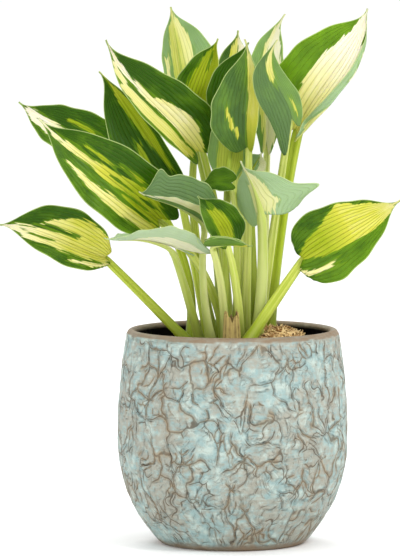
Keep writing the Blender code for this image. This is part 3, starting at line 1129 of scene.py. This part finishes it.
@dataclass
class Growth:
    """Turns one leaf into a blade and a stalk. Sizes are in mm.

    The leaf's number seeds its own ripples and streaks. The two scales make the leaf's flick and
    sweep the greatest values of their curves.
    """

    leaf: Leaf
    number: int
    rows: int = 84
    half_columns: int = 36
    veins: float = 8.5
    thickness: float = 0.55
    spike: float = 0.72
    spike_length: float = 0.16
    tip_half_width: float = 0.7
    stalk_columns: int = 28
    stalk_rows: int = 46
    midrib_rows: int = 26
    stalk_start: float = 141.6
    clearance: float = 1.4
    dip_scale: float = 12.2
    sweep_scale: float = 6.75
    vein_relief: float = 0.34
    lump_relief: float = 0.5
    lump_size: float = 15.0
    rib_end: float = 0.8
    channel: float = 0.42
    channel_width: float = 0.55
    foot_swell: float = 0.22
    round_scale: float = 3.0

    def __post_init__(self) -> None:
        """Works out the blade's axes and its length."""
        self.along, self.right, self.out = self.leaf.axes()
        self.length = float(np.linalg.norm(np.subtract(self.leaf.tip, self.leaf.base)))

    def stack(self, across: Array, along: Array) -> Array:
        """The stored value grain: places across and along in mm, and the leaf's number."""
        return np.stack(np.broadcast_arrays(across, along, float(self.number)), axis=-1)

    def outline(self, share: Array) -> Array:
        """Half width as a share of the greatest.

        Formula: a power of the distance from the base times a power of the distance from the tip,
        narrowed over the last sixth to a spike.

        Args:
            share: Shares of the length.

        Returns:
            Shares of the greatest half width.
        """
        leaf = self.leaf
        left = 1 - share
        reach = leaf.widest + leaf.neck
        swell = leaf.taper * reach / (1 - leaf.widest)
        shape = ((share + leaf.neck) / reach) ** swell * (left / (1 - leaf.widest)) ** leaf.taper
        return shape * (1 - self.spike * np.exp(-((left / self.spike_length) ** 2)))

    def middle(self, share: Array) -> tuple[Array, Array, Array]:
        """The midrib's line.

        Formula: a straight line from base to tip, with a bow of 4t(1 - t) towards the face, a dip
        of t to the fourth times (1 - t) behind it near the tip, and a bend of t squared times
        (1 - t) to the side.

        Args:
            share: Shares of the length.

        Returns:
            Points, the forward directions and the upward directions.
        """
        leaf = self.leaf
        dip = leaf.flick * self.dip_scale
        t = share[..., None]
        bow = leaf.arch * 4 * t * (1 - t) - dip * t**4 * (1 - t)
        slope = leaf.arch * 4 * (1 - 2 * t) - dip * (4 * t**3 - 5 * t**4)
        aside = leaf.sweep * self.sweep_scale * t**2 * (1 - t)
        points = np.asarray(leaf.base) + self.along * self.length * t + self.out * bow + self.right * aside
        forward = unit(self.along * self.length + self.out * slope)
        return points, forward, np.cross(self.right, forward)

    def surface(self, share: Array, side: Array) -> tuple[Array, Array]:
        """The blade's middle surface.

        Formula: each half is an arc that leaves the midrib at the fold angle and turns by the curl.
        Its outer third turns further by the furl. The sums of cosines and sines of that angle over
        the columns give the place across and up. The rows near the base bend back into two lobes,
        the margins ripple a little, and a half may be wider by a bell-shaped bulge.

        Args:
            share: Shares of the length.
            side: Sides from -1 to 1.

        Returns:
            Points in mm and half widths in mm.
        """
        leaf = self.leaf
        middle, forward, lift = self.middle(share)
        turn = np.radians(leaf.twist) * share[..., None]
        across = self.right * np.cos(turn) + lift * np.sin(turn)
        lift = lift * np.cos(turn) - self.right * np.sin(turn)
        half_width, bulge, lobe = pick(leaf.half, side), pick(leaf.bulge, side), pick(leaf.lobe, side)
        bulge = bulge * np.exp(-(((share - leaf.bulge_at) / leaf.bulge_reach) ** 2))
        width = np.maximum(half_width * self.outline(share), self.tip_half_width) + bulge
        fold = np.radians(pick(leaf.fold, side))
        curl = np.radians(pick(leaf.curl, side) + pick(leaf.roll, side) * (1 - share) ** 2)
        far = np.abs(side)
        middle_part = smooth_step(share, 0.0, 0.15) * (1 - smooth_step(share, 0.7, 1))
        furl = np.radians(pick(leaf.furl, side)) * middle_part
        angle = fold * smooth_step(far, -0.02, 0.1) + curl * far
        angle = angle + furl * smooth_step(far, 0.62, 0.92)
        half = far.shape[1] // 2
        flat = width * self.gather(np.cos(angle), half)
        rise = width * self.gather(np.sin(angle), half)
        wave = np.sin(math.pi * 0.93 * far**1.2)
        back = lobe * wave * (1 - share) ** 5
        seed = self.number * 1.7
        pace = 17 + 5 * math.sin(seed)
        swing = np.sin(share * pace + seed * 3 + side) + 0.5 * np.sin(share * pace * 1.9 + seed - 2 * side)
        rise = rise + leaf.ripple * 0.6 * swing * far**3 * np.minimum(width / 14, 1)
        flat = flat * (1 + 0.02 * np.sin(share * pace * 1.3 + seed * 5) * far)
        points = middle + across * (np.sign(side) * flat)[..., None]
        return points + lift * rise[..., None] - forward * back[..., None], width

    def gather(self, slopes: Array, middle: int) -> Array:
        """Adds up slopes from the middle column outwards, over a half width of 1.

        Args:
            slopes: The slope at each column.
            middle: The middle column's number.

        Returns:
            The distance from the middle at each column.
        """
        steps = (slopes[:, 1:] + slopes[:, :-1]) / 2 / self.half_columns
        right = np.cumsum(steps[:, middle:], axis=1)
        left = np.cumsum(steps[:, :middle][:, ::-1], axis=1)[:, ::-1]
        return np.concatenate([left, np.zeros((len(slopes), 1)), right], axis=1)

    def paints(self, share: Array, side: Array, width: Array) -> tuple[Array, Array]:
        """The variegation.

        Formula: the greatest of the pale bands' fields, less the cuts, and the tint of the band
        that wins, blended by how far inside each band a point lies.

        Args:
            share: Shares of the length.
            side: Sides from -1 to 1.
            width: Half widths in mm.

        Returns:
            The band field in mm and the tint.
        """
        field = np.full(share.shape, -30.0)
        weight, tint = np.full(share.shape, 1e-9), np.zeros(share.shape)
        for band in self.leaf.bands:
            inner = band.field(share, side, width, self.length)
            if band.cut:
                field = np.minimum(field, -inner)
                continue
            field = np.maximum(field, inner)
            strength = np.exp(np.clip(inner, -12, 12) * 0.7)
            tint += strength * band.tint(share)
            weight += strength
        return np.clip(field, -12, 12), tint / weight

    def blade(self) -> Piece:
        """The blade as a closed sheet, with veins pressed into its upper side.

        Formula: the middle surface moved by the relief along its normal, and then out by half the
        thickness for the upper side and in by as much for the lower one. The relief is a bulge
        between every two veins, plus soft lumps.

        Returns:
            The piece.
        """
        count = 2 * self.half_columns + 1
        steps = np.linspace(0, 1, self.rows)
        rows = steps + 0.045 * np.sin(math.tau * steps)
        share, side = np.meshgrid(rows, np.linspace(-1, 1, count), indexing="ij")
        points, width = self.surface(share, side)
        normal = unit(np.cross(np.gradient(points, axis=1), np.gradient(points, axis=0)))
        far = np.abs(side)
        pucker = np.abs(np.sin(math.pi * self.veins * far)) ** 0.7
        fade = smooth_step(1 - far, 0.0, 0.12) * smooth_step(1 - share, 0.03, 0.3)
        relief = self.vein_relief * pucker * fade * np.minimum(width / 16, 1)
        soft = lumps(points, self.lump_size, self.number)
        relief = relief + self.lump_relief * soft * smooth_step(width, 4, 12)
        thin = self.thickness * (0.45 + 0.55 * np.minimum(1, (1 - far) * 5))
        upper = points + normal * (thin / 2 + relief)[..., None]
        lower = points - normal * (thin / 2 - relief)[..., None]
        band, tint = self.paints(share, side, width)
        fresh = pick(self.leaf.fresh, side)
        grain = self.stack(side * width, share * self.length)
        values = {
            "band": both(band),
            "tint": both(tint),
            "fresh": both(fresh),
            "rim": both((1 - far) * width),
            "vein": both(far * self.veins),
            "under": np.concatenate([0 * far + self.leaf.bloom[0], 0 * far + self.leaf.bloom[1]], axis=1),
        }
        stored = {name: array.ravel() for name, array in values.items()}
        stored["grain"] = both(grain).reshape(-1, 3)
        ring = np.concatenate([upper, lower[:, ::-1]], axis=1)
        faces = grid_faces(self.rows, 2 * count).tolist()
        for row in (0, self.rows - 1):
            start = row * 2 * count
            for k in range(count - 1):
                quad = [start + k, start + k + 1, start + 2 * count - 2 - k, start + 2 * count - 1 - k]
                faces.append(quad[::-1] if row == 0 else quad)
        return Piece(f"leaf_{self.leaf.name}", ring, faces, stored)

    def stalk_line(self) -> tuple[Array, Array, Array]:
        """The stalk's centre line, which goes on as the midrib under the blade.

        Formula: a quadratic curve from the soil, through the via point, to just behind the blade's
        base, and then the blade's own midrib, just under its surface.

        Returns:
            Points, radii and the upward direction at each point.
        """
        leaf = self.leaf
        start = np.array([*leaf.root, self.stalk_start], float)
        end = np.asarray(leaf.base) - self.out * (leaf.stalk[1] + self.clearance)
        pull = 2 * np.asarray(leaf.via) - (start + end) / 2
        t = np.linspace(-0.06, 1, self.stalk_rows)[:, None]
        stem = start * (1 - t) ** 2 + pull * 2 * t * (1 - t) + end * t**2
        share = np.linspace(0.05, self.rib_end, self.midrib_rows)
        rib, _, lift = self.middle(share)
        rib_radius = leaf.stalk[1] * 0.75 * (1 - share / self.rib_end) ** 1.8 + 0.25
        rib = rib - lift * (rib_radius * 0.75 + 0.1)[:, None]
        grow = np.linspace(0, 1, self.stalk_rows)
        radii = leaf.stalk[0] * (1 - grow) + leaf.stalk[1] * grow
        radii = radii * (1 + self.foot_swell * (1 - smooth_step(grow, 0.0, 0.2)))
        ups = np.concatenate([np.repeat(self.out[None], self.stalk_rows, axis=0), lift])
        line = np.concatenate([stem, rib])
        for _ in range(3):
            line[1:-1] = (line[:-2] + 2 * line[1:-1] + line[2:]) / 4
        return line, np.concatenate([radii, rib_radius]), ups

    def stalk(self) -> Piece:
        """The stalk and midrib as one closed tube with a channel along its upper side.

        Formula: a round section whose radius dips by two fifths in a bell shape round the upward
        direction, carried along the line and closed at both ends.

        Returns:
            The piece.
        """
        line, radii, ups = self.stalk_line()
        forward = unit(np.gradient(line, axis=0))
        right = unit(np.cross(forward, ups))
        up = np.cross(right, forward)
        angle = -np.arange(self.stalk_columns) * math.tau / self.stalk_columns
        height = np.linspace(0, 1, len(line))
        channel = self.channel * smooth_step(height, 0.02, 0.3)
        off = np.abs((angle - math.pi / 2 + math.pi) % math.tau - math.pi)
        section = 1 - channel[:, None] * np.exp(-((off / self.channel_width) ** 2))[None]
        spot = section * radii[:, None]
        points = line[:, None] + right[:, None] * (spot * np.cos(angle))[..., None]
        points = points + up[:, None] * (spot * np.sin(angle))[..., None]
        flat, faces = capped(points, line[0], line[-1])
        walked = np.concatenate([[0], np.cumsum(np.linalg.norm(np.diff(line, axis=0), axis=1))])
        grain = self.stack(off * self.round_scale, walked[:, None]).reshape(-1, 3)
        grain = np.concatenate([grain, grain[:1], grain[-1:]])
        tall = np.concatenate([np.repeat(height, self.stalk_columns), [0.0, 1.0]])
        around = np.concatenate([np.tile(off / math.pi, len(line)), [1.0, 1.0]])
        pale = np.full(len(flat), self.leaf.pale)
        values = {"grain": grain, "height": tall, "around": around, "pale": pale}
        return Piece(f"stem_{self.leaf.name}", flat, faces, values)


W, C, Y, L = Shade.WHITE, Shade.CREAM, Shade.YELLOW, Shade.LIME

LEAVES = (
    Leaf("low_left", (-33, -6), (-60, -3, 169), (-88, -8, 198), (-160, -20, 221), (0.1, -1, 0.1), (16, 24),
         (Band(0, 1, (-0.4, -0.4, -0.5, -0.7, -0.8), (0.93, 0.86, 0.56, 0.12, 0.5), (Y, Y, C, W)),
          Band(0.02, 0.3, (-0.72, -0.72), (-0.52, -0.6), (C,)),
          Band(0.3, 0.82, (0.2, 0.12, 0.08), (0.3, 0.32, 0.2), cut=True),
          Band(0.5, 0.8, (-0.3, -0.35), (-0.18, -0.2), cut=True)),
         fresh=(0.1, 0.0), fold=(8, 14), curl=(6, 8), arch=5, sweep=4, lobe=(5, 3), neck=0.03, widest=0.36,
         stalk=(3.6, 2.8), ripple=2.2, pale=0.25),
    Leaf("back_left", (-29, 10), (-38, 24, 205), (-79, 38, 264), (-149, 50, 302), (-0.2, -1, 0.6), (24, 19),
         (Band(0.2, 1, (-0.6, -0.62, -0.66, -0.9), (-0.05, 0.0, 0.12, 0.8), (Y, C, W, W)),
          Band(0.3, 0.52, (0.3, 0.36), (0.42, 0.46), (L,)),
          Band(0.5, 0.78, (-0.3, -0.3), (-0.2, -0.22), cut=True)),
         fresh=(0.3, 0.02), arch=4, sweep=-2, pale=0.2),
    Leaf("big_left", (-6, 3), (-21, -4, 188), (-51, -20, 225), (-132, -40, 295), (-0.1, -1, 0.45), (26, 26),
         (Band(0, 1, (-0.25, -0.2, -0.12, -0.06, -0.08, -0.5), (0.3, 0.42, 0.24, 0.16, 0.16, 0.5),
               (L, L, Y, C, W)),
          Band(0.04, 0.7, (-0.66, -0.64, -0.62), (-0.32, -0.34, -0.5), (Y, C)),
          Band(0.26, 0.4, (0.42, 0.46), (0.52, 0.54), (L,)),
          Band(0.08, 0.42, (0.1, 0.06), (0.2, 0.1), cut=True),
          Band(0.1, 0.34, (-0.12, -0.1), (-0.05, -0.06), cut=True),
          Band(0.44, 0.66, (0.3, 0.4), (0.38, 0.46), (L,))),
         fresh=(0.25, 0.0), fold=(12, 16), curl=(0, 8), arch=5, sweep=-2, lobe=(8, 10), widest=0.31,
         taper=1.05, pale=0.45),
    Leaf("slim", (-17, 6), (-28, 9, 200), (-38, 8, 248), (-92, 9, 325), (-0.1, -1, 0.3), (28, 18),
         (Band(0.12, 1, (0.12, -0.1, -0.16, -0.3), (0.3, 0.46, 0.6, 0.4), (L, L, L, Y)),
          Band(0.24, 0.4, (-0.5, -0.36), (-0.3, -0.24), (L,))),
         fresh=(-0.1, 0.0), fold=(8, 58), curl=(6, 20), arch=3, sweep=2, lobe=(6, 8), pale=0.3),
    Leaf("upper_left", (-13, 17), (-26, 16, 215), (-25, 9, 270), (-87, -2, 347), (0.1, -1, 0.35), (16, 27),
         (Band(0, 1, (-0.1, -0.1, -0.1, -0.12, -0.2, -0.4, -0.8), (0.2, 0.46, 0.42, 0.12, 0.1, 0.12, 0.8),
               (Y, C, C, W, W)),
          Band(0.05, 0.85, (-0.85, -0.85), (-0.32, -0.32), (Y, C))),
         fresh=(0.25, 0.0), fold=(35, 12), curl=(10, 8), arch=6, sweep=-5, twist=35, lobe=(6, 10),
         widest=0.27, pale=0.4),
    Leaf("top", (-8, 27), (-14, 33, 220), (-31, 44, 295), (-43, 64, 368), (0.1, 1, 0.1), (25, 15),
         (Band(0, 1, (-0.3, -0.42, -0.42, -0.5), (-0.1, -0.15, -0.1, 0.1), (C, C)),
          Band(0, 1, (-0.15, -0.15, -0.15, -0.1), (0.35, 0.4, 0.5, 0.6), (L, Y, Y)),
          Band(0, 0.55, (0.6, 0.66), (0.84, 0.8), (C,))),
         fresh=(0.4, 0.4), fold=(15, 20), arch=5, widest=0.45, bloom=(0.0, 0.6)),
    Leaf("lime_folded", (-2, 18), (-10, 24, 220), (-27, 25, 291), (-10, 28, 347), (0.2, -1, 0.2), (22, 14),
         (Band(0, 1, (-0.62, -0.6, -0.52, -0.4), (1.2, 1.2, 1.2, 1.2), (L, L, L)),
          Band(0.6, 0.85, (-0.1, -0.16), (0.0, -0.08), cut=True)),
         fresh=(0.05, 0.3), fold=(12, 60), arch=3),
    Leaf("small_cream", (7, 27), (4, 36, 220), (0, 38, 296), (4, 50, 352), (0.0, -1, 0.2), (16, 14),
         (Band(0, 1, (-0.45, -0.45), (0.1, 0.1), (Y, Y)), Band(0, 1, (0.1, 0.1), (0.85, 1.1), (W, W))),
         fresh=(0.1, 0.3), arch=3, lobe=(5, 5)),
    Leaf("back_right", (25, 15), (23, 34, 205), (24, 40, 273), (37, 64, 363), (-0.1, -1, 0.3), (14, 14),
         (Band(0, 1, (-0.4, -0.45, -0.3), (-0.2, -0.15, -0.1), (Y, C)),
          Band(0, 1, (-0.2, -0.2), (0.72, 0.8, 0.9), (W, W, W))),
         fresh=(0.5, 0.5), arch=6, sweep=-7, widest=0.45, stalk=(3.2, 2.4), bloom=(0.4, 1.0), pale=0.8),
    Leaf("big_right", (25, 4), (33, 14, 215), (44, 15, 285), (93, 16, 368), (-0.2, -1, 0.3), (34, 24),
         (Band(0, 1, (-0.2, -0.35, -0.4, -0.42, -0.36, -0.8), (0.85, 0.8, 0.6, 0.5, 0.5, 0.8),
               (Y, C, W, W)),
          Band(0.5, 0.95, (0.66, 0.68), (0.8, 0.84), (W,))),
         fresh=(0.55, 0.3), fold=(8, 20), curl=(6, 30), roll=(0, 60), furl=(0, 130), arch=5, sweep=4,
         twist=-35, lobe=(9, 7), widest=0.36, stalk=(4.2, 3.8), pale=0.12),
    Leaf("spiked", (18, -8), (28, 2, 215), (40, -25, 294), (30, -33, 348), (0.2, -1, 0.2), (17, 13),
         (Band(0.5, 1, (-0.1, -0.3, -0.5), (0.06, 0.2, 0.5), (Y, C)),
          Band(0.12, 0.24, (0.32, 0.36), (0.44, 0.42), (Y,))),
         fresh=(0.0, 0.45), fold=(-10, -20), curl=(-5, -10), arch=4, sweep=-9, lobe=(27, 8), neck=0.16,
         bloom=(0.26, 0.8)),
    Leaf("dark_centre", (9, 12), (6, 18, 215), (5, 15, 284), (11, 6, 345), (-0.4, -1, 0.3), (22, 14),
         fresh=(-0.05, -0.05), arch=5, sweep=-4),
    Leaf("centre", (9, -6), (10, -12, 205), (10, -13, 274), (8, -19, 348), (-0.3, -1, 0.1), (26, 10),
         (Band(0, 1, (0.0, -0.02, -0.08, -0.3), (1.2, 1.2, 1.1, 0.9), (L, Y, Y, C)),
          Band(0.14, 0.36, (-0.36, -0.6), (-0.24, -0.54), (Y,))),
         fresh=(0.1, 0.3), arch=5, sweep=4, widest=0.34, taper=1.3, lobe=(3, 3), bloom=(0.12, 1.0)),
    Leaf("centre_low", (-6, -8), (-5, -13, 200), (-3, -8, 260), (2, -4, 306), (0.0, 1, -0.2), (14, 18),
         (Band(0, 1, (-0.7, -0.7), (0.6, 0.5), (L, L)),),
         fresh=(0.5, 0.5), fold=(25, 25), arch=3, bloom=(0.0, 0.35)),
    # front_low's lower side gets a little painted light from a bloom above 1.
    Leaf("front_low", (16, -20), (20, -26, 185), (20, -30, 229), (5, -60, 267), (0.1, 1, 0.9), (30, 22),
         (Band(0.04, 1, (-0.3, -0.36, -0.4, -0.5), (0.25, 0.3, 0.16, 0.3), (C, C, W)),),
         fresh=(0.6, 0.6), fold=(16, 30), arch=5, lobe=(4, 10), widest=0.12, taper=2.0, stalk=(4.3, 3.3),
         bulge=(13, 0), bulge_at=0.16, bulge_reach=0.07, bloom=(0.3, 1.1), pale=1.0),
    Leaf("low_right", (10, -34), (29, -28, 170), (48, -30, 199), (114, -36, 239), (-0.1, -1, 0.15),
         (25, 27),
         (Band(0, 1, (-0.25, -0.4, -0.6, -0.98, -0.8, -0.75, -0.95), (0.14, 0.2, 0.3, 0.4, 0.5, 0.6, 0.9),
               (L, L, Y, Y, C)),
          Band(0.01, 0.24, (0.46, 0.5), (0.62, 0.62), (C,))),
         fresh=(0.12, 0.35), fold=(12, 10), curl=(8, 0), arch=5, lobe=(2, 6), neck=0.005, widest=0.24,
         stalk=(4.6, 3.0), pale=0.3),
    # edge_on faces down into shade. Its bloom above 1 paints light onto both sides.
    Leaf("edge_on", (-23, -14), (-32, -28, 176), (-40, -43, 207), (-87, -74, 216), (0, 0.1, 1), (31, 20),
         (Band(0, 0.6, (-0.5, -0.4, -0.1), (0.3, 0.3), (W, W)),),
         fresh=(0.6, 0.6), fold=(14, 14), curl=(4, 4), arch=3, lobe=(22, 22), bloom=(1.2, 1.4), pale=0.85),
    Leaf("curled", (5, -19), (2, -34, 180), (-4, -47, 213), (-24, -54, 243), (0.2, -1, 0.3), (12, 17),
         (Band(0.02, 0.66, (-0.5, -0.3, -0.1), (0.3, 0.45, 0.4), (L, L)),),
         fresh=(0.2, 0.05), arch=4, lobe=(4, 5), pale=0.5, ripple=1.6),
    Leaf("rolled", (-5, -19), (-8, -35, 180), (-15, -58, 210), (13, -64, 210), (0.0, -1, 0.6), (13, 13),
         (Band(0.55, 0.85, (-0.5, -0.5), (0.5, 0.5), (Y,)),),
         fresh=(0.4, 0.4), fold=(40, 40), curl=(110, 110), arch=2, lobe=(3, 3), stalk=(3.2, 2.2),
         bloom=(0.0, 0.12), pale=0.7),
    Leaf("front_folded", (-15, -21), (-20, -27, 184), (-17, -33, 222), (-64, -56, 246), (0.1, -0.3, 1),
         (13, 25),
         (Band(0, 1, (-1.2, -1.2), (-0.4, -0.4), (C, W)),),
         fresh=(0.2, 0.0), fold=(40, 55), arch=3, bulge=(0, 10), bulge_at=0.78, bulge_reach=0.1,
         bloom=(0.32, 0.35), pale=0.9),
    Leaf("small_dark", (2, 5), (3, -16, 200), (-1, -22, 250), (-21, -17, 251), (0.0, -1, 0.5), (10, 10),
         fresh=(0.1, 0.3), arch=2, lobe=(3, 3), stalk=(3.2, 2.0)),
    Leaf("small_back", (16, 12), (14, 4, 200), (12, 5, 255), (20, 5, 269), (0.2, 1, 0.2), (9, 9),
         (Band(0, 1, (-1.2, -1.2), (-0.3, -0.3), (W,)),),
         fresh=(0.5, 0.5), arch=2, lobe=(3, 3), stalk=(3.0, 1.8)),
)


@dataclass
class Plant:
    """All leaves, and the dry stump of an old one."""

    leaves: tuple[Leaf, ...] = LEAVES
    stump_foot: tuple[float, float, float] = (-1.0, -39.0, 136.0)
    stump_top: tuple[float, float, float] = (-1.0, -37.5, 163.0)
    stump_radii: tuple[float, float] = (6.4, 4.6)
    stump_rows: int = 40
    stump_columns: int = 60
    stump_rim: float = 0.72

    def stump(self) -> Piece:
        """The dry stump: a torn tube.

        Formula: a round section with six folds, carried up a straight line, with an upper rim that
        rises and falls and turns into a hollow.

        Returns:
            The piece.
        """
        rim = self.stump_rim
        angle = np.arange(self.stump_columns) * math.tau / self.stump_columns
        share = np.linspace(0, 1, self.stump_rows)[:, None]
        foot, top = np.array(self.stump_foot), np.array(self.stump_top)
        torn = 0.9 + 0.07 * np.sin(angle * 2 + 1) + 0.06 * np.sin(angle * 5)
        torn = torn + 0.05 * np.sin(angle * 11 + 2)
        rise = np.where(share < rim, share / rim * torn, (1 - (share - rim) * 1.6) * torn)
        radius = self.stump_radii[0] + (self.stump_radii[1] - self.stump_radii[0]) * rise
        radius = radius * (1 + 0.07 * np.sin(angle * 6 + share * 3) + 0.04 * np.sin(angle * 13))
        radius = radius - np.where(share > rim, 0.9 + 2.2 * (share - rim) / (1 - rim), 0.0)
        line = foot + (top - foot) * rise[..., None]
        points = line + np.stack([radius * np.cos(angle), radius * np.sin(angle), 0 * radius], axis=-1)
        flat, faces = capped(points, points[0].mean(axis=0), points[-1].mean(axis=0))
        shade = 0.7 + 0.3 * np.sin(angle * 9 + 2) - 0.6 * (share > rim + 0.02)
        shade = np.concatenate([shade.ravel(), [0, 0]])
        return Piece("stump_sheath", flat, faces, {"shade": shade})

    def dress(self) -> None:
        """Builds every leaf and the stump, and gives them their finishes."""
        blade, stalk = BladeFinish().build(), StalkFinish().build()
        for number, leaf in enumerate(self.leaves):
            growth = Growth(leaf, number)
            growth.blade().add(blade, "leaf_blade", (f"blade_{leaf.name}",))
            growth.stalk().add(stalk, "stalk", (f"stalk_{leaf.name}",))
        sheath = GroundFinish("dry_sheath", paint(96, 74, 32), paint(182, 160, 92), 260, 0.8)
        self.stump().add(sheath.build(), "dry_sheath", ("dry_stump",))


# ---------------------------------------------------------------- the studio


@dataclass
class Studio:
    """A plain pale floor, soft lights and the camera."""

    target: tuple[float, float, float] = (-22.5, 0.0, 183.0)
    distance: float = 3200.0
    tilt: float = 4.68
    lens: float = 300.7
    sky: float = 1.04
    aim: tuple[float, float, float] = (0.0, 0.0, 0.18)
    lamps: tuple[tuple, ...] = (
        ("key", (1.2, -1.3, 1.9), 0.7, 23),
        ("fill", (-1.6, -1.6, 1.0), 1.4, 5),
        ("back", (-0.4, 1.6, 1.5), 1.0, 14),
    )

    def floor(self) -> None:
        """A wide white floor, which isn't part of the object."""
        bpy.ops.mesh.primitive_plane_add(size=40.0, location=(0, 0, 0))
        floor = bpy.context.object
        floor.name = "studio_floor"
        s = Shader("studio_floor")
        floor.data.materials.append(s.finish(Base_Color=(0.98, 0.98, 0.98), Roughness=1.0))

    def light(self, name: str, place: tuple[float, float, float], size: float, power: float) -> None:
        """One soft area light that looks at the plant.

        Args:
            name: The light's name.
            place: Where it stands, in metres.
            size: Its width in metres.
            power: Its power in watts.
        """
        data = bpy.data.lights.new(name, "AREA")
        data.shape, data.size, data.energy = "DISK", size, power
        lamp = bpy.data.objects.new(name, data)
        lamp.location = place
        lamp.rotation_euler = (Vector(self.aim) - Vector(place)).to_track_quat("-Z", "Y").to_euler()
        bpy.context.scene.collection.objects.link(lamp)

    def camera(self) -> None:
        """The camera, at the angle from which most leaves show their upper side."""
        data = bpy.data.cameras.new("camera")
        data.lens, data.sensor_width = self.lens, 36.0
        data.clip_start, data.clip_end = 0.1, 50.0
        camera = bpy.data.objects.new("camera", data)
        tilt = math.radians(self.tilt)
        back = Vector((0, -math.cos(tilt), math.sin(tilt))) * self.distance
        camera.location = (Vector(self.target) + back) * MM
        camera.rotation_euler = (math.pi / 2 - tilt, 0, 0)
        bpy.context.scene.collection.objects.link(camera)
        bpy.context.scene.camera = camera

    def build(self) -> None:
        """Sets up everything round the object."""
        world = bpy.data.worlds.new("studio")
        world.use_nodes = True
        background = world.node_tree.nodes["Background"].inputs
        background["Color"].default_value = (1, 1, 1, 1)
        background["Strength"].default_value = self.sky
        bpy.context.scene.world = world
        bpy.context.scene.view_settings.view_transform = "Standard"
        self.floor()
        for name, place, size, power in self.lamps:
            self.light(name, place, size, power)
        self.camera()


def main() -> None:
    """Builds every sub-assembly."""
    logging.basicConfig(level=logging.INFO, format="%(message)s")
    Studio().build()
    CoverPot().dress()
    PlasticFinish().dress()
    Soil().dress()
    HuskMulch().dress()
    Plant().dress()


if __name__ == "__main__":
    main()
